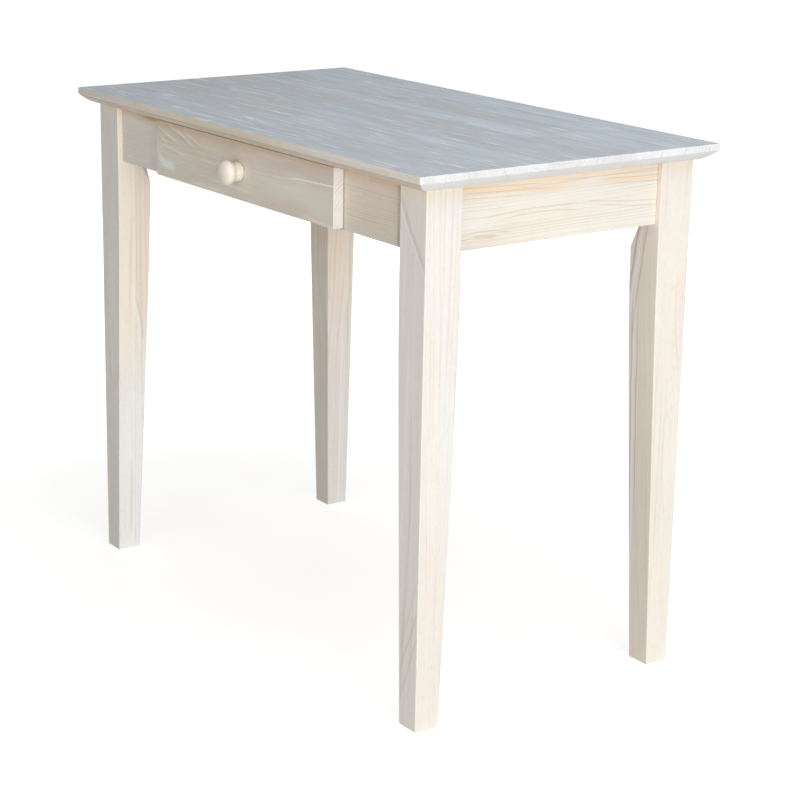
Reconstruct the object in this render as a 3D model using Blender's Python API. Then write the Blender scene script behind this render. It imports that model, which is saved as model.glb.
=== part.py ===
"""Shaker-style writing table with one shallow overlay drawer.

Units are metres, +Z is up and the floor is z = 0. The long side runs along X and the drawer opens towards -Y.
The origin is on the floor, under the middle of the top.
"""
import math

import bmesh
import bpy
from mathutils import Matrix, Vector

# Table as a whole
TOP_LENGTH = 0.9144
TOP_DEPTH = 0.508
TABLE_HEIGHT = 0.762
TOP_OVERHANG_ENDS = 0.023
TOP_OVERHANG_SIDES = 0.027
SEAT_GAP = 0.0003

# Top: an upright band above a thumbnail bevel that runs in under the edge
TOP_THICKNESS = 0.023
EDGE_BAND = 0.0095
EDGE_EASE = 0.001
UNDER_BEVEL_RUN = 0.022
UNDER_BEVEL_CURVE = 1.65
UNDER_BEVEL_STEPS = 6
TOP_CORNER_ROUND = 0.003
TOP_CORNER_STEPS = 3

# Legs: square at the apron, tapered on the two inner faces only
LEG_WIDTH = 0.0572
FOOT_WIDTH = 0.0381
TAPER_START_BELOW_APRON = 0.012
TAPER_EASE_LENGTH = 0.17
TAPER_EASE_STEPS = 7
LEG_EDGE_ROUND = 0.0018
LEG_EDGE_STEPS = 2
FOOT_EASE = 0.001

# Chamfer on a leg's inner corner, the seat for the corner block's bolt
SEAT_CHAMFER = 0.015
SEAT_BELOW_APRON = 0.010
SEAT_RUNOUT = 0.030

# Aprons
APRON_HEIGHT = 0.0865
APRON_THICKNESS = 0.019
APRON_RECESS = 0.008
APRON_EASE = 0.001

# Corner blocks and the bolts that draw the legs in
BLOCK_THICKNESS = 0.025
BLOCK_HEIGHT = 0.060
BLOCK_LEG_GAP = 0.003
BOLT_DIAMETER = 0.008
BOLT_IN_LEG = 0.032
BOLT_PAST_NUT = 0.006
BOLT_END_CHAMFER = 0.001
BOLT_CLEARANCE = 0.0005
WASHER_DIAMETER = 0.022
WASHER_THICKNESS = 0.0016
NUT_HUB_DIAMETER = 0.0145
NUT_HUB_HEIGHT = 0.009
WING_SPAN = 0.034
WING_RISE = 0.017
WING_LOBE_RADIUS = 0.005
WING_ROOT_FOOT = 0.0018
WING_ROOT_HEAD = 0.0072
WING_THICKNESS = 0.003
WING_ARC_STEPS = 6

# Wood screws
SCREW_DIAMETER = 0.004
SCREW_HEAD_DIAMETER = 0.008
SCREW_HEAD_HEIGHT = 0.003
SCREW_HEAD_EDGE = 0.0012
SCREW_POINT = 0.006
SCREW_HEAD_CLEARANCE = 0.0005
BLOCK_SCREW_GRIP = 0.008
BLOCK_SCREW_BITE = 0.013
TOP_SCREW_GRIP = 0.030
TOP_SCREW_BITE = 0.014
TOP_SCREW_OFFSET = 0.020

# Drawer opening in the front apron
UPPER_RAIL = 0.014
LOWER_RAIL = 0.015
FRONT_OVERLAY = 0.013

# Drawer
DRAWER_FRONT_WIDTH = 0.476
DRAWER_FRONT_THICKNESS = 0.016
DRAWER_FRONT_TOP_GAP = 0.0004
DRAWER_FRONT_LIFT = 0.003
DRAWER_FRONT_EASE = 0.0012
BOX_BOARD = 0.012
BOX_SIDE_CLEARANCE = 0.001
BOX_TOP_CLEARANCE = 0.002
BOX_BACK_SPACE = 0.063
BOTTOM_PANEL = 0.004
BOTTOM_INSET = 0.006
GROOVE_DEPTH = 0.006
TAIL_COUNT = 3
PIN_WIDTH = 0.007
TAIL_SLOPE = 1 / 7
FRONT_SCREW_SPACING = 0.300
FRONT_SCREW_BITE = 0.011

# Runners, kickers and stop
RUNNER_LEDGE = 0.011
RUNNER_GUIDE_WIDTH = 0.014
RUNNER_GUIDE_HEIGHT = 0.022
KICKER_WIDTH = 0.020
STOP_WIDTH = 0.040
STOP_THICKNESS = 0.012
STOP_DROP = 0.024
STOP_RISE = 0.008
STOP_SCREW_DROP = 0.012
STOP_SCREW_BITE = 0.008

# Turned knob
KNOB_HEAD_DIAMETER = 0.035
KNOB_HEAD_THICKNESS = 0.0184
KNOB_BEAD_DIAMETER = 0.028
KNOB_NECK_DIAMETER = 0.0215
KNOB_FOOT_DIAMETER = 0.0242
KNOB_LENGTH = 0.031
KNOB_HEAD_STEPS = 12
KNOB_BEAD_STEPS = 8
KNOB_SCREW_BITE = 0.014

# Roundness of turned pieces and how far a cutter reaches past what it cuts
KNOB_SIDES = 32
BOLT_SIDES = 16
SCREW_SIDES = 12
CUT_PAST = 0.004
MERGE_DISTANCE = 0.000001
EASE_STEPS = 2
SHARP_ANGLE = math.radians(40)

# Shared levels and places
TOP_UNDERSIDE = TABLE_HEIGHT - TOP_THICKNESS
FRAME_TOP = TOP_UNDERSIDE - SEAT_GAP
APRON_BOTTOM = TOP_UNDERSIDE - APRON_HEIGHT
LEG_OUTER_X = TOP_LENGTH / 2 - TOP_OVERHANG_ENDS
LEG_OUTER_Y = TOP_DEPTH / 2 - TOP_OVERHANG_SIDES
APRON_INNER = APRON_RECESS + APRON_THICKNESS
APRON_FACE_Y = LEG_OUTER_Y - APRON_RECESS
APRON_INNER_Y = LEG_OUTER_Y - APRON_INNER
OPENING_HALF = DRAWER_FRONT_WIDTH / 2 - FRONT_OVERLAY
OPENING_TOP = TOP_UNDERSIDE - UPPER_RAIL
OPENING_BOTTOM = APRON_BOTTOM + LOWER_RAIL
BOX_HALF = OPENING_HALF - BOX_SIDE_CLEARANCE
BOX_BOTTOM = OPENING_BOTTOM + SEAT_GAP
BOX_TOP = OPENING_TOP - BOX_TOP_CLEARANCE
BOX_FRONT_Y = -APRON_FACE_Y
BOX_BACK_Y = APRON_INNER_Y - BOX_BACK_SPACE
DRAWER_FRONT_BOTTOM = APRON_BOTTOM + DRAWER_FRONT_LIFT
DRAWER_FRONT_TOP = TOP_UNDERSIDE - DRAWER_FRONT_TOP_GAP
DRAWER_FRONT_BACK_Y = BOX_FRONT_Y - SEAT_GAP
DRAWER_FRONT_FACE_Y = DRAWER_FRONT_BACK_Y - DRAWER_FRONT_THICKNESS
KNOB_Z = (DRAWER_FRONT_BOTTOM + DRAWER_FRONT_TOP) / 2
SEAT_SUM = 2 * LEG_WIDTH - SEAT_CHAMFER
SEAT_DEPTH = SEAT_SUM / math.sqrt(2)
BLOCK_NEAR = SEAT_DEPTH + BLOCK_LEG_GAP
BLOCK_FAR = BLOCK_NEAR + BLOCK_THICKNESS
BLOCK_MIDDLE_Z = FRAME_TOP - BLOCK_HEIGHT / 2
BLOCK_SCREW_LENGTH = BLOCK_SCREW_GRIP + BLOCK_SCREW_BITE
TOP_SCREW_LENGTH = TOP_SCREW_GRIP + TOP_SCREW_BITE
FRONT_SCREW_GRIP = BOX_BOARD - SCREW_HEAD_HEIGHT - SEAT_GAP
FRONT_SCREW_LENGTH = FRONT_SCREW_GRIP + FRONT_SCREW_BITE
KNOB_SCREW_LENGTH = FRONT_SCREW_GRIP + DRAWER_FRONT_THICKNESS + KNOB_SCREW_BITE
STOP_FACE_Y = BOX_BACK_Y - BOX_BOARD - SEAT_GAP - STOP_THICKNESS
STOP_SCREW_GRIP = STOP_THICKNESS - SCREW_HEAD_HEIGHT - SEAT_GAP
STOP_SCREW_LENGTH = STOP_SCREW_GRIP + STOP_SCREW_BITE
INWARD = Vector((1, 1, 0)).normalized()
ALONG = Vector((1, -1, 0)).normalized()
UP = Vector((0, 0, 1))
FORWARD = Vector((0, -1, 0))
BACKWARD = Vector((0, 1, 0))

# Colour, roughness and metallic value of each finish
PALE_WOOD = ((0.78, 0.70, 0.59), 0.62, 0.0)
GREY_WOOD = ((0.60, 0.58, 0.56), 0.60, 0.0)
TAUPE_WOOD = ((0.70, 0.63, 0.54), 0.62, 0.0)
KNOB_WOOD = ((0.86, 0.78, 0.62), 0.50, 0.0)
INNER_WOOD = ((0.72, 0.62, 0.48), 0.70, 0.0)
PLY_PANEL = ((0.66, 0.54, 0.40), 0.65, 0.0)
ZINC_STEEL = ((0.62, 0.63, 0.64), 0.35, 1.0)


def clear_scene():
    """Removes whatever objects the file opened with."""
    for obj in list(bpy.data.objects):
        bpy.data.objects.remove(obj, do_unlink=True)


def new_material(name, finish):
    """A Principled material of one finish for one piece."""
    colour, roughness, metallic = finish
    material = bpy.data.materials.new(name)
    material.use_nodes = True
    shader = material.node_tree.nodes["Principled BSDF"]
    shader.inputs["Base Color"].default_value = (*colour, 1.0)
    shader.inputs["Roughness"].default_value = roughness
    shader.inputs["Metallic"].default_value = metallic
    return material


def new_empty(name, location, turn=0.0):
    """An empty that carries the pieces of one sub-assembly."""
    empty = bpy.data.objects.new(name, None)
    empty.location = location
    empty.rotation_euler = (0.0, 0.0, turn)
    bpy.context.scene.collection.objects.link(empty)
    return empty


def new_object(name, bm, finish, parent=None, smooth=False):
    """Turns the shapes gathered in bm into a named object with its own material."""
    bmesh.ops.recalc_face_normals(bm, faces=bm.faces)
    mesh = bpy.data.meshes.new(name)
    bm.to_mesh(mesh)
    bm.free()
    if smooth:
        mesh.shade_smooth()
        mesh.set_sharp_from_angle(angle=SHARP_ANGLE)
    if finish:
        mesh.materials.append(new_material(name, finish))
    obj = bpy.data.objects.new(name, mesh)
    obj.parent = parent
    bpy.context.scene.collection.objects.link(obj)
    return obj


def carve(obj, bm, operation="DIFFERENCE"):
    """Cuts obj, or joins it, with the closed shapes in bm, given in obj's own frame."""
    cutter = new_object(f"{obj.name}_{operation.lower()}", bm, None, obj.parent)
    cutter.location = obj.location
    cutter.rotation_mode = obj.rotation_mode
    cutter.rotation_quaternion = obj.rotation_quaternion
    cutter.hide_render = True
    cutter.display_type = "WIRE"
    modifier = obj.modifiers.new(operation.lower(), "BOOLEAN")
    modifier.operation = operation
    modifier.object = cutter


def add_box(bm, low, high):
    """A box between two corners."""
    low = Vector(low)
    high = Vector(high)
    place = Matrix.Translation((low + high) / 2) @ Matrix.Diagonal((*(high - low), 1.0))
    return bmesh.ops.create_cube(bm, size=1.0, matrix=place)["verts"]


def add_prism(bm, outline, travel):
    """A flat outline of points, extruded along travel."""
    face = bm.faces.new([bm.verts.new(point) for point in outline])
    grown = bmesh.ops.extrude_face_region(bm, geom=[face])["geom"]
    moved = [item for item in grown if isinstance(item, bmesh.types.BMVert)]
    bmesh.ops.translate(bm, verts=moved, vec=travel)


def add_loft(bm, rings):
    """Skins a stack of rings that all have the same number of points, and closes both ends."""
    loops = [[bm.verts.new(point) for point in ring] for ring in rings]
    for lower, upper in zip(loops, loops[1:]):
        for i, start in enumerate(lower):
            j = (i + 1) % len(lower)
            bm.faces.new((start, lower[j], upper[j], upper[i]))
    bm.faces.new(loops[0])
    bm.faces.new(loops[-1])


def add_turned(bm, profile, sides, place=None, closed=False):
    """Spins a profile of (radius, height) points round local Z and puts the body at place."""
    lathe = bmesh.new()
    verts = [lathe.verts.new((radius, 0.0, height)) for radius, height in profile]
    pairs = list(zip(verts, verts[1:]))
    if closed:
        pairs.append((verts[-1], verts[0]))
    edges = [lathe.edges.new(pair) for pair in pairs]
    geom = verts + edges
    bmesh.ops.spin(lathe, geom=geom, cent=(0, 0, 0), axis=UP, angle=math.tau, steps=sides, use_merge=True)
    bmesh.ops.remove_doubles(lathe, verts=lathe.verts, dist=MERGE_DISTANCE)
    if place:
        lathe.transform(place)
    bmesh.ops.recalc_face_normals(lathe, faces=lathe.faces)
    mesh = bpy.data.meshes.new("turned_body")
    lathe.to_mesh(mesh)
    lathe.free()
    bm.from_mesh(mesh)
    bpy.data.meshes.remove(mesh)


def axis_turn(direction):
    """Rotation that points local Z along direction."""
    return direction.to_track_quat("Z", "Y")


def axis_place(point, direction):
    """Matrix that puts a turned body's foot at point with its local Z along direction."""
    return Matrix.Translation(point) @ axis_turn(direction).to_matrix().to_4x4()


def stand_on(obj, point, direction):
    """Places a turned object with its foot at point and its axis along direction."""
    obj.location = point
    obj.rotation_mode = "QUATERNION"
    obj.rotation_quaternion = axis_turn(direction)


def rod_profile(radius, low, high):
    """Profile of a plain cylinder."""
    return [(0.0, high), (radius, high), (radius, low), (0.0, low)]


def rounded_rectangle(low, high, radius, steps, z):
    """Ring of a rectangle between two corners, each of its own corners rounded in steps."""
    left, front = (value + radius for value in low)
    right, back = (value - radius for value in high)
    ring = []
    for quarter, (x, y) in enumerate(((right, back), (left, back), (left, front), (right, front))):
        for step in range(steps + 1):
            angle = (quarter + step / steps) * math.pi / 2
            ring.append((x + radius * math.cos(angle), y + radius * math.sin(angle), z))
    return ring


def leg_ring(low, high, z):
    """Ring of a leg's square section from low to high on both axes."""
    return rounded_rectangle((low, low), (high, high), LEG_EDGE_ROUND, LEG_EDGE_STEPS, z)


def make_top():
    """Slab whose edge is an upright band and a thumbnail bevel underneath."""
    drop = TOP_THICKNESS - EDGE_BAND
    levels = []
    for step in range(UNDER_BEVEL_STEPS + 1):
        share = step / UNDER_BEVEL_STEPS
        levels.append((UNDER_BEVEL_RUN * (1 - share), TOP_UNDERSIDE + drop * share ** UNDER_BEVEL_CURVE))
    levels.append((0.0, TABLE_HEIGHT - EDGE_EASE))
    levels.append((EDGE_EASE, TABLE_HEIGHT))
    rings = []
    for inset, z in levels:
        x = TOP_LENGTH / 2 - inset
        y = TOP_DEPTH / 2 - inset
        rings.append(rounded_rectangle((-x, -y), (x, y), TOP_CORNER_ROUND, TOP_CORNER_STEPS, z))
    bm = bmesh.new()
    add_loft(bm, rings)
    return new_object("table_top", bm, GREY_WOOD)


def taper_width(z):
    """Side of a leg at height z: straight taper below, eased into the square above."""
    start = APRON_BOTTOM - TAPER_START_BELOW_APRON
    slope = (LEG_WIDTH - FOOT_WIDTH) / (start - TAPER_EASE_LENGTH / 2)
    below = max(start - z, 0.0)
    if below < TAPER_EASE_LENGTH:
        return LEG_WIDTH - slope * below ** 2 / (2 * TAPER_EASE_LENGTH)
    return LEG_WIDTH - slope * (below - TAPER_EASE_LENGTH / 2)


def make_leg(name, corner):
    """Leg in its corner's frame: outer faces on x = 0 and y = 0, inner faces tapered."""
    start = APRON_BOTTOM - TAPER_START_BELOW_APRON
    heights = [FOOT_EASE]
    for step in range(TAPER_EASE_STEPS, -1, -1):
        heights.append(start - TAPER_EASE_LENGTH * step / TAPER_EASE_STEPS)
    heights.append(FRAME_TOP)
    foot = FOOT_WIDTH - FOOT_EASE
    rings = [leg_ring(FOOT_EASE, foot, 0.0)]
    rings += [leg_ring(0.0, taper_width(z), z) for z in heights]
    bm = bmesh.new()
    add_loft(bm, rings)
    leg = new_object(name, bm, PALE_WOOD, corner)

    seat_end = APRON_BOTTOM - SEAT_BELOW_APRON
    runout_end = seat_end - SEAT_RUNOUT
    corner_depth = taper_width(runout_end) * math.sqrt(2)
    far_depth = LEG_WIDTH * math.sqrt(2) + CUT_PAST
    section = [
        (SEAT_DEPTH, FRAME_TOP + CUT_PAST),
        (far_depth, FRAME_TOP + CUT_PAST),
        (far_depth, runout_end),
        (corner_depth, runout_end),
        (SEAT_DEPTH, seat_end),
    ]
    bm = bmesh.new()
    outline = [INWARD * depth - ALONG * LEG_WIDTH + UP * z for depth, z in section]
    add_prism(bm, outline, ALONG * 2 * LEG_WIDTH)
    carve(leg, bm)
    bm = bmesh.new()
    foot_of_hole = INWARD * (SEAT_DEPTH - BOLT_IN_LEG - SEAT_GAP) + UP * BLOCK_MIDDLE_Z
    hole = rod_profile(BOLT_DIAMETER / 2 + SEAT_GAP, 0.0, BOLT_IN_LEG + SEAT_CHAMFER)
    add_turned(bm, hole, BOLT_SIDES, axis_place(foot_of_hole, INWARD))
    carve(leg, bm)


def make_screw(name, seat, direction, length, parent):
    """Pan-head wood screw whose head sits on seat and whose point goes along direction."""
    head = SCREW_HEAD_DIAMETER / 2
    shank = SCREW_DIAMETER / 2
    profile = [
        (0.0, SCREW_HEAD_HEIGHT),
        (head - SCREW_HEAD_EDGE, SCREW_HEAD_HEIGHT),
        (head, SCREW_HEAD_HEIGHT - SCREW_HEAD_EDGE),
        (head, 0.0),
        (shank, 0.0),
        (shank, SCREW_POINT - length),
        (0.0, -length),
    ]
    bm = bmesh.new()
    add_turned(bm, profile, SCREW_SIDES)
    screw = new_object(name, bm, ZINC_STEEL, parent, smooth=True)
    stand_on(screw, seat - direction * SEAT_GAP, -direction)


def add_screw_bore(bm, seat, direction, length, mouth):
    """Stepped hole for a screw: wide for mouth in front of the seat, narrow behind it."""
    wide = SCREW_HEAD_DIAMETER / 2 + SCREW_HEAD_CLEARANCE
    narrow = SCREW_DIAMETER / 2 + SEAT_GAP
    profile = [(0.0, mouth), (wide, mouth), (wide, 0.0), (narrow, 0.0), (narrow, -length), (0.0, -length)]
    add_turned(bm, profile, SCREW_SIDES, axis_place(seat, -direction))


def block_screw_seats():
    """The two screws of one corner block: seat, direction and name."""
    near = (BLOCK_NEAR + BLOCK_FAR) / math.sqrt(2) - APRON_INNER
    seat = APRON_INNER + SEAT_GAP + BLOCK_SCREW_GRIP
    yield Vector((near, seat, BLOCK_MIDDLE_Z)), Vector((0, -1, 0)), "a"
    yield Vector((seat, near, BLOCK_MIDDLE_Z)), Vector((-1, 0, 0)), "b"


def top_screw_seat():
    """Seat of the screw that holds the top, inside the corner block."""
    middle = INWARD * (BLOCK_NEAR + BLOCK_FAR) / 2 + ALONG * TOP_SCREW_OFFSET
    return middle + UP * (FRAME_TOP - TOP_SCREW_GRIP)


def make_block(name, corner):
    """Hardwood block across a corner, bored for the bolt, its own screws and the top's screw."""
    reach = APRON_INNER + SEAT_GAP
    near = BLOCK_NEAR * math.sqrt(2) - reach
    far = BLOCK_FAR * math.sqrt(2) - reach
    low = FRAME_TOP - BLOCK_HEIGHT
    outline = [(near, reach, low), (far, reach, low), (reach, far, low), (reach, near, low)]
    bm = bmesh.new()
    add_prism(bm, outline, UP * BLOCK_HEIGHT)
    block = new_object(name, bm, INNER_WOOD, corner)
    bm = bmesh.new()
    hole = rod_profile(BOLT_DIAMETER / 2 + BOLT_CLEARANCE, 0.0, BLOCK_THICKNESS + 2 * CUT_PAST)
    mouth = INWARD * (BLOCK_NEAR - CUT_PAST) + UP * BLOCK_MIDDLE_Z
    add_turned(bm, hole, BOLT_SIDES, axis_place(mouth, INWARD))
    for seat, direction, _ in block_screw_seats():
        add_screw_bore(bm, seat, direction, BLOCK_SCREW_LENGTH, BLOCK_THICKNESS)
    add_screw_bore(bm, top_screw_seat(), UP, TOP_SCREW_LENGTH, BLOCK_HEIGHT)
    carve(block, bm)


def make_bolt_set(side, corner):
    """Hanger bolt, washer and wing nut on the corner's diagonal."""
    radius = BOLT_DIAMETER / 2
    length = BOLT_IN_LEG + BLOCK_LEG_GAP + BLOCK_THICKNESS + WASHER_THICKNESS + NUT_HUB_HEIGHT + BOLT_PAST_NUT
    bm = bmesh.new()
    profile = [
        (0.0, length),
        (radius - BOLT_END_CHAMFER, length),
        (radius, length - BOLT_END_CHAMFER),
        (radius, BOLT_END_CHAMFER),
        (radius - BOLT_END_CHAMFER, 0.0),
        (0.0, 0.0),
    ]
    add_turned(bm, profile, BOLT_SIDES)
    bolt = new_object(f"hanger_bolt_{side}", bm, ZINC_STEEL, corner, smooth=True)
    stand_on(bolt, INWARD * (SEAT_DEPTH - BOLT_IN_LEG) + UP * BLOCK_MIDDLE_Z, INWARD)

    bore = radius + SEAT_GAP
    rim = WASHER_DIAMETER / 2
    bm = bmesh.new()
    ring = [(rim, WASHER_THICKNESS), (rim, 0.0), (bore, 0.0), (bore, WASHER_THICKNESS)]
    add_turned(bm, ring, BOLT_SIDES, closed=True)
    washer = new_object(f"bolt_washer_{side}", bm, ZINC_STEEL, corner, smooth=True)
    washer_foot = BLOCK_FAR + SEAT_GAP
    stand_on(washer, INWARD * washer_foot + UP * BLOCK_MIDDLE_Z, INWARD)

    hub = NUT_HUB_DIAMETER / 2
    bm = bmesh.new()
    ring = [(hub, NUT_HUB_HEIGHT), (hub, 0.0), (bore, 0.0), (bore, NUT_HUB_HEIGHT)]
    add_turned(bm, ring, BOLT_SIDES, closed=True)
    nut = new_object(f"wing_nut_{side}", bm, ZINC_STEEL, corner, smooth=True)
    stand_on(nut, INWARD * (washer_foot + WASHER_THICKNESS + SEAT_GAP) + UP * BLOCK_MIDDLE_Z, INWARD)
    carve(nut, wing_pair(hub, bore), "UNION")


def wing_pair(hub, bore):
    """The two ears of a wing nut, rooted inside the hub's wall."""
    root = (hub + bore) / 2
    lobe = Vector((WING_SPAN / 2 - WING_LOBE_RADIUS, 0.0, WING_RISE - WING_LOBE_RADIUS))
    bm = bmesh.new()
    for hand in (1, -1):
        outline = [Vector((root, 0.0, WING_ROOT_FOOT))]
        for step in range(WING_ARC_STEPS + 1):
            angle = math.pi * (step / WING_ARC_STEPS - 1 / 4)
            outline.append(lobe + WING_LOBE_RADIUS * Vector((math.cos(angle), 0.0, math.sin(angle))))
        outline.append(Vector((root, 0.0, WING_ROOT_HEAD)))
        outline = [Vector((hand * point.x, -WING_THICKNESS / 2, point.z)) for point in outline]
        add_prism(bm, outline, BACKWARD * WING_THICKNESS)
    return bm


CORNERS = {
    "front_left": (-1, -1, 0),
    "front_right": (1, -1, 1),
    "rear_right": (1, 1, 2),
    "rear_left": (-1, 1, 3),
}


def corner_matrix(side):
    """World matrix of a corner's frame: its origin on the leg's outer edge, +X and +Y pointing inwards."""
    x_sign, y_sign, quarters = CORNERS[side]
    place = Vector((x_sign * LEG_OUTER_X, y_sign * LEG_OUTER_Y, 0.0))
    return Matrix.Translation(place) @ Matrix.Rotation(quarters * math.pi / 2, 4, "Z")


def make_corner(side):
    """A leg with its block, bolt set and screws."""
    place = corner_matrix(side)
    corner = new_empty(f"corner_{side}", place.translation, place.to_euler().z)
    make_leg(f"leg_{side}", corner)
    make_block(f"corner_block_{side}", corner)
    make_bolt_set(side, corner)
    for seat, direction, letter in block_screw_seats():
        make_screw(f"block_screw_{side}_{letter}", seat, direction, BLOCK_SCREW_LENGTH, corner)
    make_screw(f"top_screw_{side}", top_screw_seat(), UP, TOP_SCREW_LENGTH, corner)


def world_screws():
    """Seat and direction in the table's frame of every block screw and every top screw."""
    block_screws = []
    top_screws = []
    for side in CORNERS:
        place = corner_matrix(side)
        turn = place.to_3x3()
        block_screws += [(place @ seat, turn @ direction) for seat, direction, _ in block_screw_seats()]
        top_screws.append(place @ top_screw_seat())
    return block_screws, top_screws


def add_apron_board(bm, low, high):
    """A board with its long lower edges eased."""
    verts = add_box(bm, low, high)
    edges = {edge for vert in verts for edge in vert.link_edges}
    long_axis = 0 if high[0] - low[0] > high[1] - low[1] else 1
    eased = []
    for edge in edges:
        start, end = (vert.co for vert in edge.verts)
        lies_low = max(start.z, end.z) < (low[2] + high[2]) / 2
        if lies_low and abs((end - start)[long_axis]) > APRON_THICKNESS:
            eased.append(edge)
    bmesh.ops.bevel(bm, geom=eased, offset=APRON_EASE, segments=EASE_STEPS, affect="EDGES")


def make_aprons():
    """Four boards between the legs, the front one cut out for the drawer."""
    long_end = LEG_OUTER_X - LEG_WIDTH - SEAT_GAP
    short_end = LEG_OUTER_Y - LEG_WIDTH - SEAT_GAP
    face_x = LEG_OUTER_X - APRON_RECESS
    inner_x = LEG_OUTER_X - APRON_INNER
    boards = {
        "front_apron": ((-long_end, -APRON_FACE_Y), (long_end, -APRON_INNER_Y)),
        "rear_apron": ((-long_end, APRON_INNER_Y), (long_end, APRON_FACE_Y)),
        "left_apron": ((-face_x, -short_end), (-inner_x, short_end)),
        "right_apron": ((inner_x, -short_end), (face_x, short_end)),
    }
    screws, _ = world_screws()
    for name, (low, high) in boards.items():
        bm = bmesh.new()
        add_apron_board(bm, (*low, APRON_BOTTOM), (*high, FRAME_TOP))
        apron = new_object(name, bm, PALE_WOOD)
        outward = Vector((low[0] + high[0], low[1] + high[1], 0.0)).normalized()
        bm = bmesh.new()
        for seat, direction in screws:
            if direction.dot(outward) > math.cos(math.pi / 4):
                add_screw_bore(bm, seat, direction, BLOCK_SCREW_LENGTH + SEAT_GAP, SCREW_HEAD_HEIGHT)
        if name == "front_apron":
            add_box(
                bm,
                (-OPENING_HALF, low[1] - CUT_PAST, OPENING_BOTTOM),
                (OPENING_HALF, high[1] + CUT_PAST, OPENING_TOP),
            )
        carve(apron, bm)


def bore_top(top):
    """Pilot holes in the top's underside for its screws."""
    _, seats = world_screws()
    bm = bmesh.new()
    for seat in seats:
        add_screw_bore(bm, seat, UP, TOP_SCREW_LENGTH + SEAT_GAP, SCREW_HEAD_HEIGHT)
    carve(top, bm)


def make_drawer_guides():
    """Runners that carry the drawer and kickers that stop it tipping, between the two long aprons."""
    start = -APRON_INNER_Y + SEAT_GAP
    length = 2 * (APRON_INNER_Y - SEAT_GAP)
    ledge_edge = BOX_HALF - BOX_BOARD
    outer = OPENING_HALF + RUNNER_GUIDE_WIDTH
    guide_top = OPENING_BOTTOM + RUNNER_GUIDE_HEIGHT
    section = [
        (ledge_edge, OPENING_BOTTOM - RUNNER_LEDGE),
        (outer, OPENING_BOTTOM - RUNNER_LEDGE),
        (outer, guide_top),
        (OPENING_HALF, guide_top),
        (OPENING_HALF, OPENING_BOTTOM),
        (ledge_edge, OPENING_BOTTOM),
    ]
    for side, hand in (("left", -1), ("right", 1)):
        bm = bmesh.new()
        add_prism(bm, [(hand * x, start, z) for x, z in section], BACKWARD * length)
        new_object(f"drawer_runner_{side}", bm, INNER_WOOD)
        bm = bmesh.new()
        edges = sorted((hand * BOX_HALF, hand * (BOX_HALF - KICKER_WIDTH)))
        add_box(bm, (edges[0], start, OPENING_TOP), (edges[1], start + length, FRAME_TOP))
        new_object(f"drawer_kicker_{side}", bm, INNER_WOOD)


def tail_half(depth):
    """Half the width of a dovetail, depth in from the board's end."""
    pitch = (BOX_TOP - BOX_BOTTOM) / TAIL_COUNT
    return (pitch - PIN_WIDTH) / 2 + TAIL_SLOPE * (BOX_BOARD / 2 - depth)


def tail_centres():
    """Heights of the dovetails' middles."""
    pitch = (BOX_TOP - BOX_BOTTOM) / TAIL_COUNT
    return [BOX_BOTTOM + pitch * (number + 0.5) for number in range(TAIL_COUNT)]


def add_sockets(bm, end_y, inward, low_x, width):
    """The gaps between one end's tails, cut through a drawer side."""
    depths = (-CUT_PAST, BOX_BOARD + SEAT_GAP)
    centres = tail_centres()
    for number in range(TAIL_COUNT + 1):
        outline = []
        for depth in depths:
            low = centres[number - 1] + tail_half(depth) if number else BOX_BOTTOM - CUT_PAST
            outline.append((low_x, end_y + inward * depth, low))
        for depth in reversed(depths):
            high = centres[number] - tail_half(depth) if number < TAIL_COUNT else BOX_TOP + CUT_PAST
            outline.append((low_x, end_y + inward * depth, high))
        add_prism(bm, outline, Vector((width, 0, 0)))


def add_tails(bm, end_y, inward):
    """The tails themselves, a gap wider all round, cut from both ends of a box front or back."""
    reach = BOX_BOARD + SEAT_GAP
    past = BOX_BOARD + CUT_PAST
    for hand in (-1, 1):
        for centre in tail_centres():
            outline = []
            for depth, edge in ((-CUT_PAST, -1), (past, -1), (past, 1), (-CUT_PAST, 1)):
                half = tail_half(depth) + SEAT_GAP
                outline.append((hand * (BOX_HALF + CUT_PAST), end_y + inward * depth, centre + edge * half))
            add_prism(bm, outline, Vector((-hand * (reach + CUT_PAST), 0, 0)))


def add_bottom_panel(bm, spread):
    """The drawer's bottom panel, or with a spread the grooves that hold it."""
    x = BOX_HALF - BOX_BOARD + GROOVE_DEPTH - SEAT_GAP + spread
    front = BOX_FRONT_Y + BOX_BOARD - GROOVE_DEPTH + SEAT_GAP - spread
    back = BOX_BACK_Y - BOX_BOARD + GROOVE_DEPTH - SEAT_GAP + spread
    low = BOX_BOTTOM + BOTTOM_INSET - spread
    high = BOX_BOTTOM + BOTTOM_INSET + BOTTOM_PANEL + spread
    add_box(bm, (-x, front, low), (x, back, high))


def into(bm, empty):
    """Moves a bm from the table's frame into the frame of the empty that will carry it."""
    bmesh.ops.translate(bm, verts=bm.verts, vec=-empty.location)
    return bm


def front_screws():
    """Name, seat and length of each screw driven forward from inside the drawer."""
    seat_y = BOX_FRONT_Y + FRONT_SCREW_GRIP
    side = FRONT_SCREW_SPACING / 2
    yield "drawer_front_screw_left", Vector((-side, seat_y, KNOB_Z)), FRONT_SCREW_LENGTH
    yield "drawer_front_screw_right", Vector((side, seat_y, KNOB_Z)), FRONT_SCREW_LENGTH
    yield "knob_screw", Vector((0.0, seat_y, KNOB_Z)), KNOB_SCREW_LENGTH


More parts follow.
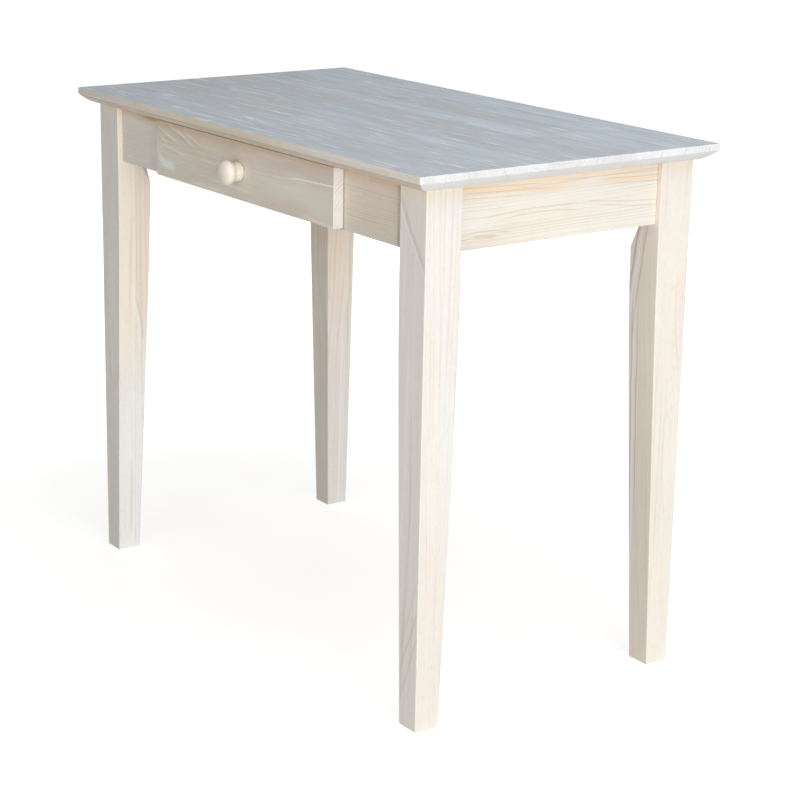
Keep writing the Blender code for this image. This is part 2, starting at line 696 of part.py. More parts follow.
def make_drawer_box(slide):
    """Dovetailed box of four boards with a thin bottom in grooves."""
    for side, hand in (("left", -1), ("right", 1)):
        edges = sorted((hand * BOX_HALF, hand * (BOX_HALF - BOX_BOARD)))
        bm = bmesh.new()
        add_box(bm, (edges[0], BOX_FRONT_Y, BOX_BOTTOM), (edges[1], BOX_BACK_Y, BOX_TOP))
        board = new_object(f"drawer_side_{side}", into(bm, slide), INNER_WOOD, slide)
        for end_y, inward in ((BOX_FRONT_Y, 1), (BOX_BACK_Y, -1)):
            bm = bmesh.new()
            add_sockets(bm, end_y, inward, edges[0] - CUT_PAST, BOX_BOARD + 2 * CUT_PAST)
            carve(board, into(bm, slide))
        bm = bmesh.new()
        add_bottom_panel(bm, SEAT_GAP)
        carve(board, into(bm, slide))

    ends = {"drawer_box_front": (BOX_FRONT_Y, 1), "drawer_box_back": (BOX_BACK_Y, -1)}
    for name, (end_y, inward) in ends.items():
        faces = sorted((end_y, end_y + inward * BOX_BOARD))
        bm = bmesh.new()
        add_box(bm, (-BOX_HALF, faces[0], BOX_BOTTOM), (BOX_HALF, faces[1], BOX_TOP))
        board = new_object(name, into(bm, slide), INNER_WOOD, slide)
        bm = bmesh.new()
        add_tails(bm, end_y, inward)
        carve(board, into(bm, slide))
        bm = bmesh.new()
        add_bottom_panel(bm, SEAT_GAP)
        carve(board, into(bm, slide))
        bm = bmesh.new()
        if inward > 0:
            for _, seat, length in front_screws():
                add_screw_bore(bm, seat, FORWARD, length, SCREW_HEAD_HEIGHT + CUT_PAST)
        else:
            add_screw_bore(bm, stop_screw_seat(), BACKWARD, STOP_SCREW_LENGTH, SCREW_HEAD_HEIGHT)
        carve(board, into(bm, slide))

    bm = bmesh.new()
    add_bottom_panel(bm, 0.0)
    new_object("drawer_bottom", into(bm, slide), PLY_PANEL, slide)


def make_drawer_front(slide):
    """Overlay front with eased edges, its screws and the turned knob."""
    half = DRAWER_FRONT_WIDTH / 2
    low = (-half, DRAWER_FRONT_FACE_Y, DRAWER_FRONT_BOTTOM)
    high = (half, DRAWER_FRONT_BACK_Y, DRAWER_FRONT_TOP)
    bm = bmesh.new()
    add_box(bm, low, high)
    bmesh.ops.bevel(bm, geom=bm.edges[:], offset=DRAWER_FRONT_EASE, segments=EASE_STEPS, affect="EDGES")
    front = new_object("drawer_front", into(bm, slide), TAUPE_WOOD, slide)
    bm = bmesh.new()
    for name, seat, length in front_screws():
        make_screw(name, seat - slide.location, FORWARD, length, slide)
        add_screw_bore(bm, seat, FORWARD, length + SEAT_GAP, SCREW_HEAD_HEIGHT)
    carve(front, into(bm, slide))
    make_knob(slide)


def knob_profile():
    """Mushroom knob: an oval head, a nip at the neck, a round bead, then the screw hole in its foot."""
    head = KNOB_HEAD_DIAMETER / 2
    neck = KNOB_NECK_DIAMETER / 2
    foot = KNOB_FOOT_DIAMETER / 2
    swell = (KNOB_BEAD_DIAMETER - (KNOB_NECK_DIAMETER + KNOB_FOOT_DIAMETER) / 2) / 2
    half = KNOB_HEAD_THICKNESS / 2
    sweep = math.pi / 2 + math.acos(neck / head)
    profile = []
    for step in range(KNOB_HEAD_STEPS + 1):
        angle = sweep * step / KNOB_HEAD_STEPS
        profile.append((head * math.sin(angle), KNOB_LENGTH - half + half * math.cos(angle)))
    neck_height = profile[-1][1]
    for step in range(1, KNOB_BEAD_STEPS + 1):
        angle = math.pi * step / KNOB_BEAD_STEPS
        down = (1 - math.cos(angle)) / 2
        radius = neck + (foot - neck) * down + swell * math.sin(angle)
        profile.append((radius, neck_height * (1 - down)))
    hole = SCREW_DIAMETER / 2 + SEAT_GAP
    depth = KNOB_SCREW_BITE + SEAT_GAP
    return profile + [(hole, 0.0), (hole, depth), (0.0, depth)]


def make_knob(slide):
    """Knob turned round its own axis and stood on the drawer front."""
    bm = bmesh.new()
    add_turned(bm, knob_profile(), KNOB_SIDES)
    knob = new_object("drawer_knob", bm, KNOB_WOOD, slide, smooth=True)
    stand_on(knob, Vector((0.0, DRAWER_FRONT_FACE_Y - SEAT_GAP, KNOB_Z)) - slide.location, FORWARD)


def stop_screw_seat():
    """Seat of the stop's screw, sunk so that its head lies flush."""
    return Vector((0.0, STOP_FACE_Y + STOP_THICKNESS - STOP_SCREW_GRIP, BOX_TOP - STOP_SCREW_DROP))


def make_drawer_stop(slide):
    """Block on the drawer's back that stands above it and meets the apron at full travel."""
    half = STOP_WIDTH / 2
    bm = bmesh.new()
    low = (-half, STOP_FACE_Y, BOX_TOP - STOP_DROP)
    high = (half, STOP_FACE_Y + STOP_THICKNESS, BOX_TOP + STOP_RISE)
    add_box(bm, low, high)
    stop = new_object("drawer_stop", into(bm, slide), INNER_WOOD, slide)
    bm = bmesh.new()
    add_screw_bore(bm, stop_screw_seat(), BACKWARD, STOP_SCREW_LENGTH, SCREW_HEAD_HEIGHT + CUT_PAST)
    carve(stop, into(bm, slide))
    make_screw("stop_screw", stop_screw_seat() - slide.location, BACKWARD, STOP_SCREW_LENGTH, slide)


def main():
    """Builds the table: top, corners, aprons, guides, then the drawer on its slide."""
    clear_scene()
    top = make_top()
    bore_top(top)
    for side in CORNERS:
        make_corner(side)
    make_aprons()
    make_drawer_guides()
    slide = new_empty("drawer_slide_axis", Vector((0.0, BOX_FRONT_Y, BOX_BOTTOM)))
    make_drawer_box(slide)
    make_drawer_front(slide)
    make_drawer_stop(slide)
    travel = STOP_FACE_Y + APRON_INNER_Y
    print(f"drawer travel to its stop: {travel:.4f} m")


main()
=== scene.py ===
"""Looks of a bare-wood writing table with one drawer, dressed over its CAD frame.

Every length is in metres and in the frame of the CAD: +Z is up, the long side runs along X, and the drawer
opens towards -Y. Each sub-assembly is a class that builds its finer meshes and dresses the pieces it keeps.
"""
import logging
import math
from dataclasses import dataclass, field, replace
from enum import Enum
from typing import Any, Iterable, Mapping, Sequence, Union

import bmesh
import bpy
from mathutils import Matrix, Vector


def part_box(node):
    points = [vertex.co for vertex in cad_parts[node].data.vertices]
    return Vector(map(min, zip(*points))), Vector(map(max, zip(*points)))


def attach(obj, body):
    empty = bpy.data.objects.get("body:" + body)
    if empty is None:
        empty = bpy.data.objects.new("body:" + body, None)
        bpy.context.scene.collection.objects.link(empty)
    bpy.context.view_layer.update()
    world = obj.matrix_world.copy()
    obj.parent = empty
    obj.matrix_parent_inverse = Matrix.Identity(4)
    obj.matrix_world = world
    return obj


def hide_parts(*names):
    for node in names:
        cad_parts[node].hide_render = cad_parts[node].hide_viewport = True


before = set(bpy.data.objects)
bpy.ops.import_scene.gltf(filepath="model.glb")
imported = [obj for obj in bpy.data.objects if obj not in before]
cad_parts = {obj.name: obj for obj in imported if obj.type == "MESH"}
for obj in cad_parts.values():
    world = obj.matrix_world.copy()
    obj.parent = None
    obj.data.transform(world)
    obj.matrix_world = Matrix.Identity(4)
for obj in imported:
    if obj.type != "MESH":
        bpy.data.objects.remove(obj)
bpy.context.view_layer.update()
LOG = logging.getLogger("writing_table")

TABLE_BODY = "table"
DRAWER_BODY = "drawer"
IMAGE_SIDE = 800
SENSOR_WIDTH = 36.0
MERGE_DISTANCE = 1e-6
FLAT_ANGLE = math.radians(1.0)
SHARP_ANGLE = math.radians(32.0)
ROUND_PROFILE = 0.5
EDGE_SAMPLES = 4
EDGE_MASK = (0.02, 0.22)
FACE_REACH = (0.55, 0.85)
NOISE_MIDDLE = 0.5
UP = Vector((0.0, 0.0, 1.0))

Colour = tuple[float, float, float]
Pair = tuple[float, float]
Point = Union[Vector, Sequence[float]]


def linear(code: str) -> Colour:
    """Turns a screen colour such as "#F0E6D8" into the linear values that shaders take.

    Args:
        code: Six hexadecimal digits after a hash.

    Returns:
        Red, green and blue from 0 to 1.
    """
    toe, slope, offset, power = 0.04045, 12.92, 0.055, 2.4
    shares = [int(code[at : at + 2], 16) / 255 for at in (1, 3, 5)]
    values = [s / slope if s <= toe else ((s + offset) / (1 + offset)) ** power for s in shares]
    return values[0], values[1], values[2]


class Axis(Enum):
    """Direction that a board's fibres or a strip's width follow."""

    X = 0
    Y = 1
    Z = 2

    def order(self) -> tuple[int, int, int]:
        """This axis first, then the other two."""
        others = [axis.value for axis in Axis if axis is not self]
        return self.value, others[0], others[1]


class Corner(Enum):
    """The four corners of the table: sign along X, sign along Y, quarter turns from the front left."""

    FRONT_LEFT = (-1, -1, 0)
    FRONT_RIGHT = (1, -1, 1)
    REAR_RIGHT = (1, 1, 2)
    REAR_LEFT = (-1, 1, 3)

    @property
    def side(self) -> str:
        """Ending of the names of this corner's nodes."""
        return self.name.lower()


class Wire:
    """One node output that takes part in shader arithmetic.

    Plain values go through Math nodes and vectors through Vector Math nodes.
    """

    def __init__(self, graph: "Graph", socket: bpy.types.NodeSocket) -> None:
        """Wraps one output socket of a graph."""
        self.graph = graph
        self.socket = socket

    def _math(self, operation: str, first: Any, second: Any = None) -> "Wire":
        """Adds one Math or Vector Math node.

        Args:
            operation: Name of the node's operation.
            first: Left operand, a wire or numbers.
            second: Right operand, where the operation has one.

        Returns:
            The node's result.
        """
        on_vectors = self.socket.type == "VECTOR"
        kind = "ShaderNodeVectorMath" if on_vectors else "ShaderNodeMath"
        operands = {0: first} if second is None else {0: first, 1: second}
        if on_vectors:
            operands = {at: (v,) * 3 if isinstance(v, (int, float)) else v for at, v in operands.items()}
        return self.graph.node(kind, {"operation": operation}, operands)

    def __add__(self, other: Any) -> "Wire":
        """Sum."""
        return self._math("ADD", self, other)

    def __radd__(self, other: Any) -> "Wire":
        """Sum with the wire on the right."""
        return self._math("ADD", other, self)

    def __sub__(self, other: Any) -> "Wire":
        """Difference."""
        return self._math("SUBTRACT", self, other)

    def __rsub__(self, other: Any) -> "Wire":
        """Difference with the wire on the right."""
        return self._math("SUBTRACT", other, self)

    def __mul__(self, other: Any) -> "Wire":
        """Product."""
        return self._math("MULTIPLY", self, other)

    def __rmul__(self, other: Any) -> "Wire":
        """Product with the wire on the right."""
        return self._math("MULTIPLY", other, self)

    def __truediv__(self, other: Any) -> "Wire":
        """Quotient."""
        return self._math("DIVIDE", self, other)

    def __abs__(self) -> "Wire":
        """Size without sign."""
        return self._math("ABSOLUTE", self)

    def centred(self) -> "Wire":
        """Noise from 0 to 1, moved to lie about 0."""
        return self - NOISE_MIDDLE

    def floor(self) -> "Wire":
        """Largest whole number below the value."""
        return self._math("FLOOR", self)

    def root(self) -> "Wire":
        """Square root."""
        return self._math("SQRT", self)

    def above(self, limit: Any) -> "Wire":
        """1 where the value is larger than the limit, 0 elsewhere."""
        return self._math("GREATER_THAN", self, limit)

    def least(self, other: Any) -> "Wire":
        """Smaller of two values."""
        return self._math("MINIMUM", self, other)

    def most(self, other: Any) -> "Wire":
        """Larger of two values."""
        return self._math("MAXIMUM", self, other)


class Graph:
    """The node tree of one material with a Principled shader."""

    def __init__(self, name: str, tree: bpy.types.NodeTree | None = None) -> None:
        """Starts an empty tree.

        Args:
            name: Name of the new material.
            tree: A tree to use instead of a new material's own.
        """
        self.material: bpy.types.Material | None = None
        if tree is None:
            self.material = bpy.data.materials.new(name)
            self.material.use_nodes = True
            tree = self.material.node_tree
        tree.nodes.clear()
        self.tree = tree

    def node(
        self,
        kind: str,
        settings: Mapping[str, Any] | None = None,
        sockets: Mapping[Any, Any] | None = None,
        output: Any = 0,
    ) -> Wire:
        """Adds any node.

        Args:
            kind: The node's type.
            settings: Its own settings, set before its sockets.
            sockets: Values or wires by socket name or number.
            output: Name or number of the output to hand back.

        Returns:
            The chosen output.
        """
        made = self.tree.nodes.new(kind)
        for key, value in (settings or {}).items():
            setattr(made, key, value)
        for key, value in (sockets or {}).items():
            target = made.inputs[key]
            if isinstance(value, Wire):
                self.tree.links.new(value.socket, target)
            elif target.type == "RGBA" and len(value) == 3:
                target.default_value = (*value, 1.0)
            else:
                target.default_value = value
        return Wire(self, made.outputs[output]) if made.outputs else Wire(self, made.inputs[0])

    def parts(self, wire: Wire) -> list[Wire]:
        """Splits a vector or a colour.

        Args:
            wire: The vector or colour.

        Returns:
            Its three values.
        """
        is_colour = wire.socket.type == "RGBA"
        kind = "ShaderNodeSeparateColor" if is_colour else "ShaderNodeSeparateXYZ"
        first = self.node(kind, None, {0: wire})
        return [Wire(self, socket) for socket in first.socket.node.outputs[:3]]

    def vector(self, x: Any, y: Any, z: Any) -> Wire:
        """Joins three values into a vector."""
        return self.node("ShaderNodeCombineXYZ", None, {0: x, 1: y, 2: z})

    def noise(self, place: Wire, detail: float = 0.0, rough: float = 0.5, output: int = 0) -> Wire:
        """Soft noise at a place in space, or along a line where place is a value.

        Args:
            place: Vector or value, already scaled so that features are about 1 across.
            detail: Octaves added.
            rough: Share of each further octave.
            output: 0 for a value, 1 for three independent ones as a colour.

        Returns:
            Noise from 0 to 1.
        """
        on_line = place.socket.type == "VALUE"
        dimensions, socket = ("1D", "W") if on_line else ("3D", "Vector")
        sockets = {socket: place, "Scale": 1.0, "Detail": detail, "Roughness": rough}
        return self.node("ShaderNodeTexNoise", {"noise_dimensions": dimensions}, sockets, output)

    def chance(self, tag: Wire) -> list[Wire]:
        """Three random values for a tag number."""
        kind = "ShaderNodeTexWhiteNoise"
        return self.parts(self.node(kind, {"noise_dimensions": "1D"}, {"W": tag}, "Color"))

    def smooth(self, value: Wire, low: Any, high: Any) -> Wire:
        """0 up to low, 1 from high on, and a soft step between them."""
        settings = {"interpolation_type": "SMOOTHSTEP"}
        return self.node("ShaderNodeMapRange", settings, {0: value, 1: low, 2: high, 3: 0.0, 4: 1.0})

    def mix(self, share: Any, first: Any, second: Any) -> Wire:
        """Mixes two colours.

        Args:
            share: How much of the second colour shows, from 0 to 1.
            first: Colour below.
            second: Colour above.

        Returns:
            The mixed colour.
        """
        settings = {"data_type": "RGBA", "clamp_factor": True}
        # Sockets 6 and 7 are the node's two colours, and output 2 is the mixed one.
        return self.node("ShaderNodeMix", settings, {0: share, 6: first, 7: second}, 2)

    def place(self) -> Wire:
        """Point on the surface in the piece's own frame."""
        return self.node("ShaderNodeTexCoord", output="Object")

    def facing(self) -> list[Wire]:
        """The surface's direction in the piece's own frame, as three values."""
        return self.parts(self.node("ShaderNodeTexCoord", output="Normal"))

    def arris(self, radius: float) -> Wire:
        """1 along outer and inner edges, 0 on open faces.

        Args:
            radius: How far from the edge the mask reaches.

        Returns:
            The mask.
        """
        rounded = self.node("ShaderNodeBevel", {"samples": EDGE_SAMPLES}, {"Radius": radius})
        plain = self.node("ShaderNodeNewGeometry", output="Normal")
        settings = {"operation": "DOT_PRODUCT"}
        agreement = self.node("ShaderNodeVectorMath", settings, {0: rounded, 1: plain}, "Value")
        return self.smooth(1 - agreement, *EDGE_MASK)

    def finish(self, sockets: Mapping[str, Any]) -> bpy.types.Material:
        """Closes the tree with a Principled shader.

        Args:
            sockets: Values or wires of the shader's sockets.

        Returns:
            The finished material.
        """
        shader = self.node("ShaderNodeBsdfPrincipled", None, sockets)
        self.node("ShaderNodeOutputMaterial", None, {"Surface": shader})
        return self.material


@dataclass(frozen=True)
class Glueup:
    """How a piece is glued up from narrower strips, each with its own tone and figure.

    Glue lines lie across one axis, butt joints along the grain, one group for each strip. All are measured
    from the middle of the piece. Heart names the pieces cut from heartwood, by strip and by place in it. The
    spreads say how far the strips' rings differ, and tags tell the strips and their pieces apart.
    """

    across: Axis
    lines: tuple[float, ...]
    butts: tuple[tuple[float, ...], ...] = ()
    heart: tuple[tuple[int, int], ...] = ()
    tone: float = 0.5
    heart_tone: float = 0.5
    line_show: float = 0.35
    line_width: float = 0.0005
    pith_spread: Pair = (0.10, 0.05)
    lean_spread: float = 0.05
    slide: float = 5.0
    tags: Pair = (7.31, 3.17)


@dataclass(frozen=True)
class Zone:
    """A part of a board with its own tint, such as heartwood along one edge, or painted shade and painted
    light, such as the warm shade along a board's top under the table's top.

    It sets in along an axis between start and full, and may end again past until. On limits it to faces that
    look along an axis, and reach says how squarely they must look along it.
    """

    axis: Axis
    start: float
    full: float
    colour: str
    show: float
    on: Axis | None = None
    wobble: float = 0.0
    until: float | None = None
    reach: Pair = FACE_REACH


@dataclass(frozen=True)
class Figure:
    """One long light or dark streak between two points, each given along the grain and along side."""

    side: Axis
    start: Pair
    end: Pair
    width: float
    colour: str
    show: float
    bow: float = 0.0
    on: Axis | None = None


@dataclass
class Fibres:
    """The wires that describe the wood at a point, shared by colour, gloss and relief."""

    axes: list[Wire]
    along: Wire
    ring: Wire
    band: Wire
    coarse: Wire
    fine: Wire
    pore: Wire
    streak: Wire
    patch: Wire
    blush: Wire
    strip_tone: Wire | None
    joint: Wire | None
    end: Wire
    facing: list[Wire]


@dataclass(frozen=True)
class Timber:
    """Bare sanded pale hardwood with growth rings, pores and pale streaks that follow one axis."""

    grain: Axis
    light: str = "#F6F0E5"
    deep: str = "#E8DCCB"
    line: str = "#B79A7C"
    pale: str = "#FBF8F2"
    pore_tone: str = "#A58565"
    blush_tone: str = "#E3CFC0"
    end_tone: str = "#EBDDC8"
    end_deep: str = "#D8C5A9"
    wear_highlight_tone: str = "#FAF4EA"
    pith: Pair = (0.010, 0.080)
    ring_gap: float = 0.0065
    ring_show: float = 0.42
    band_show: float = 0.55
    lean: Pair = (0.015, 0.010)
    wave: float = 0.006
    wave_length: float = 0.24
    patch_show: float = 1.2
    fibre_show: float = 0.9
    streak_show: float = 0.35
    streak_from: Pair = (0.57, 0.72)
    streak_size: Pair = (0.20, 0.0062)
    patch_size: Pair = (0.30, 0.05)
    ring_fade: Pair = (0.36, 0.62)
    pore_show: float = 0.30
    blush_show: float = 0.35
    end_show: float = 0.55
    end_from: Pair = (0.70, 0.95)
    end_lines: float = 0.4
    wear_highlight: float = 0.35
    edge_reach: float = 0.002
    rough: float = 0.60
    relief: float = 0.30
    relief_depth: float = 0.0003
    relief_shares: tuple[float, float, float, float] = (0.4, 0.35, 0.9, 0.25)
    gloss_fibre: float = 0.16
    gloss_pore: float = 0.10
    specular: float = 0.35
    base_tone: float = 0.4
    wave_rate: float = 7.0
    wave_rough: float = 0.4
    ring_drift: Pair = (0.37, 1.6)
    ring_strength: Pair = (0.2, 0.8)
    ring_rise: Pair = (0.55, 0.92)
    fade_size: Pair = (0.22, 0.03)
    band_rate: float = 0.29
    band_start: float = 3.0
    coarse_size: Pair = (0.11, 0.0024)
    fine_size: Pair = (0.030, 0.0007)
    pore_size: Pair = (0.014, 0.00045)
    pore_from: Pair = (0.66, 0.78)
    blush_size: Pair = (0.26, 0.035)
    blush_from: Pair = (0.50, 0.70)
    wobble_length: float = 0.11
    ripple_length: float = 0.06
    figure_core: float = 0.15
    figure_fade: float = 0.25
    figure_fibre: Pair = (0.6, 0.8)
    seed: float = 0.0
    glue: Glueup | None = None
    zones: tuple[Zone, ...] = ()
    end_zones: tuple[Zone, ...] = ()
    figures: tuple[Figure, ...] = ()

    def material(self, name: str, centre: Point) -> bpy.types.Material:
        """Builds the material of one piece.

        Args:
            name: Name of the material.
            centre: Middle of the piece, from which its rings are placed.

        Returns:
            The material.
        """
        g = Graph(name)
        wood = self.fibres(g, centre)
        rough = self.rough + self.gloss_fibre * wood.coarse.centred() + self.gloss_pore * wood.pore
        return g.finish(
            {
                "Base Color": self.colour(g, wood),
                "Roughness": rough,
                "Specular IOR Level": self.specular,
                "Normal": self.bump(g, wood),
            }
        )

    def strips(self, g: Graph, axes: list[Wire]) -> tuple[list[Wire], Wire]:
        """Finds the glued strip that a point lies in.

        Args:
            g: The material's graph.
            axes: The point's three coordinates from the piece's middle.

        Returns:
            The strip's change of tone and two random values, and a mask of the glue lines.
        """
        glue = self.glue
        spot, run = axes[glue.across.value], axes[self.grain.value]
        row = spot.above(glue.lines[0])
        gap = abs(spot - glue.lines[0])
        for line in glue.lines[1:]:
            row = row + spot.above(line)
            gap = gap.least(abs(spot - line))
        part = row * 0.0
        for at, butts in enumerate(glue.butts):
            elsewhere = abs(row - at).least(1.0)
            for butt in butts:
                part = part + run.above(butt) * (1 - elsewhere)
                gap = gap.least(abs(run - butt) + elsewhere)
        tone, aside, deep = g.chance(row * glue.tags[0] + part * glue.tags[1] + self.seed)
        tone = tone.centred() * glue.tone
        for strip, piece in glue.heart:
            other = abs(row - strip).most(abs(part - piece)).least(1.0)
            tone = tone + (1 - other) * glue.heart_tone
        return [tone, aside, deep], 1 - g.smooth(gap, 0.0, glue.line_width)

    def fibres(self, g: Graph, centre: Point) -> Fibres:
        """Works out the wood at a point.

        Args:
            g: The material's graph.
            centre: Middle of the piece.

        Returns:
            The wires that colour, gloss and relief share.
        """
        axes = g.parts(g.place() - tuple(centre))
        first, second, third = self.grain.order()
        along, across, through = axes[first], axes[second], axes[third]
        lean_a, lean_b = self.lean
        pith_a: Any = self.pith[0]
        pith_b: Any = self.pith[1]
        tone = joint = None
        if self.glue:
            (tone, aside, deep), joint = self.strips(g, axes)
            pith_a = aside.centred() * self.glue.pith_spread[0] + pith_a
            pith_b = deep.centred() * self.glue.pith_spread[1] + pith_b
            lean_a = deep.centred() * self.glue.lean_spread + lean_a
            along = along + aside * self.glue.slide
        seed, rate = self.seed, self.wave_rate
        drift = g.vector(along / self.wave_length + seed, across * rate, through * rate + seed)
        sway, dip, _ = g.parts(g.noise(drift, detail=1.0, rough=self.wave_rough, output=1))
        a = across + along * lean_a + sway.centred() * (2 * self.wave)
        b = through + along * lean_b + dip.centred() * (2 * self.wave)

        def stretched(size: Pair, detail: float = 0.0) -> Wire:
            """Noise whose features lie along the fibres.

            Args:
                size: Length and width of the features.
                detail: Octaves added.

            Returns:
                Noise from 0 to 1.
            """
            length, width = size
            spot = g.vector(along / length + seed, a / width + seed, b / width - seed)
            return g.noise(spot, detail)

        from_a = a - pith_a
        from_b = b - pith_b
        turns = (from_a * from_a + from_b * from_b).root() / self.ring_gap
        turns = turns + g.noise(turns * self.ring_drift[0] + seed) * self.ring_drift[1]
        count = turns.floor()
        share = turns - count
        least, spread = self.ring_strength
        strength = g.chance(count + seed)[0] * spread + least
        start, peak = self.ring_rise
        rise = g.smooth(share, start, peak) * (1 - g.smooth(share, peak, 1.0))
        fade = g.smooth(stretched(self.fade_size, detail=1.0), *self.ring_fade)
        facing = g.facing()
        return Fibres(
            axes=axes,
            along=axes[first],
            ring=rise * strength * fade,
            band=g.noise(turns * self.band_rate + (seed + self.band_start), detail=1.0),
            coarse=stretched(self.coarse_size, detail=3.0),
            fine=stretched(self.fine_size, detail=1.0),
            pore=g.smooth(stretched(self.pore_size), *self.pore_from),
            streak=g.smooth(stretched(self.streak_size, detail=2.0), *self.streak_from),
            patch=stretched(self.patch_size, detail=2.0),
            blush=g.smooth(stretched(self.blush_size, detail=1.0), *self.blush_from),
            strip_tone=tone,
            joint=joint,
            end=g.smooth(abs(facing[first]), *self.end_from),
            facing=facing,
        )

    def colour(self, g: Graph, wood: Fibres) -> Wire:
        """Mixes the wood's colour.

        Args:
            g: The material's graph.
            wood: The wood at a point.

        Returns:
            The colour.
        """
        tone = wood.patch.centred() * self.patch_show + wood.band.centred() * self.band_show
        tone = tone + wood.coarse.centred() * self.fibre_show + self.base_tone
        if wood.strip_tone:
            tone = tone + wood.strip_tone
        shade = g.mix(tone, linear(self.light), linear(self.deep))
        for zone in self.zones:
            shade = g.mix(self.zone_mask(g, wood, zone), shade, linear(zone.colour))
        shade = g.mix(wood.blush * self.blush_show, shade, linear(self.blush_tone))
        shade = g.mix(wood.ring * self.ring_show, shade, linear(self.line))
        shade = g.mix(wood.streak * self.streak_show, shade, linear(self.pale))
        shade = g.mix(wood.pore * self.pore_show, shade, linear(self.pore_tone))
        for figure in self.figures:
            shade = g.mix(self.figure_mask(g, wood, figure), shade, linear(figure.colour))
        if wood.joint:
            shade = g.mix(wood.joint * self.glue.line_show, shade, linear(self.line))
        ends = g.mix(tone, linear(self.end_tone), linear(self.end_deep))
        ends = g.mix(wood.ring * self.end_lines, ends, linear(self.line))
        for zone in self.end_zones:
            ends = g.mix(self.zone_mask(g, wood, zone), ends, linear(zone.colour))
        shade = g.mix(wood.end * self.end_show, shade, ends)
        # Edges take this tone: partly sanded wear, partly a painted highlight where the edges catch the
        # light.
        if self.wear_highlight:
            shade = g.mix(g.arris(self.edge_reach) * self.wear_highlight, shade, linear(self.wear_highlight_tone))
        return shade

    @staticmethod
    def facing_mask(g: Graph, wood: Fibres, on: Axis | None, reach: Pair = FACE_REACH) -> Any:
        """1 on the faces that look along an axis, or everywhere without one."""
        return g.smooth(abs(wood.facing[on.value]), *reach) if on else 1.0

    def zone_mask(self, g: Graph, wood: Fibres, zone: Zone) -> Wire:
        """Mask of one tinted part of the board.

        Args:
            g: The material's graph.
            wood: The wood at a point.
            zone: The part, its levels measured from the middle of the piece.

        Returns:
            How much of the zone's colour shows.
        """
        level = wood.axes[zone.axis.value]
        if zone.wobble:
            drift = g.noise(wood.along / self.wobble_length + (self.seed + zone.start), detail=1.0)
            level = level + drift.centred() * (2 * zone.wobble)
        mask = g.smooth(level, zone.start, zone.full)
        if zone.until is not None:
            mask = mask * (1 - g.smooth(level, zone.until, zone.until + zone.full - zone.start))
        return mask * self.facing_mask(g, wood, zone.on, zone.reach) * zone.show

    def figure_mask(self, g: Graph, wood: Fibres, figure: Figure) -> Wire:
        """Mask of one long streak.

        Args:
            g: The material's graph.
            wood: The wood at a point.
            figure: The streak, its points measured from the middle of the piece.

        Returns:
            How much of the streak's colour shows.
        """
        (from_along, from_side), (to_along, to_side) = figure.start, figure.end
        share = (wood.along - from_along) / (to_along - from_along)
        # share * (1 - share) is a quarter halfway along, where the streak is off its chord by the whole bow.
        middle = share * (to_side - from_side) + share * (1 - share) * (4 * figure.bow) + from_side
        ripple = g.noise(wood.along / self.ripple_length + (self.seed + from_side), detail=1.0).centred()
        away = abs(wood.axes[figure.side.value] - middle + ripple * figure.width)
        body = 1 - g.smooth(away, figure.width * self.figure_core, figure.width)
        fade = self.figure_fade
        ends = g.smooth(share, 0.0, fade) * (1 - g.smooth(share, 1 - fade, 1.0))
        least, spread = self.figure_fibre
        show = (wood.coarse * spread + least) * figure.show
        return body * ends * show * self.facing_mask(g, wood, figure.on)

    def bump(self, g: Graph, wood: Fibres) -> Wire:
        """Relief of the sanded fibres.

        Args:
            g: The material's graph.
            wood: The wood at a point.

        Returns:
            The shading normal.
        """
        coarse, fine, pore, ring = self.relief_shares
        height = wood.coarse * coarse + wood.fine * fine - wood.pore * pore - wood.ring * ring
        sockets = {"Strength": self.relief, "Distance": self.relief_depth, "Height": height}
        return g.node("ShaderNodeBump", None, sockets)


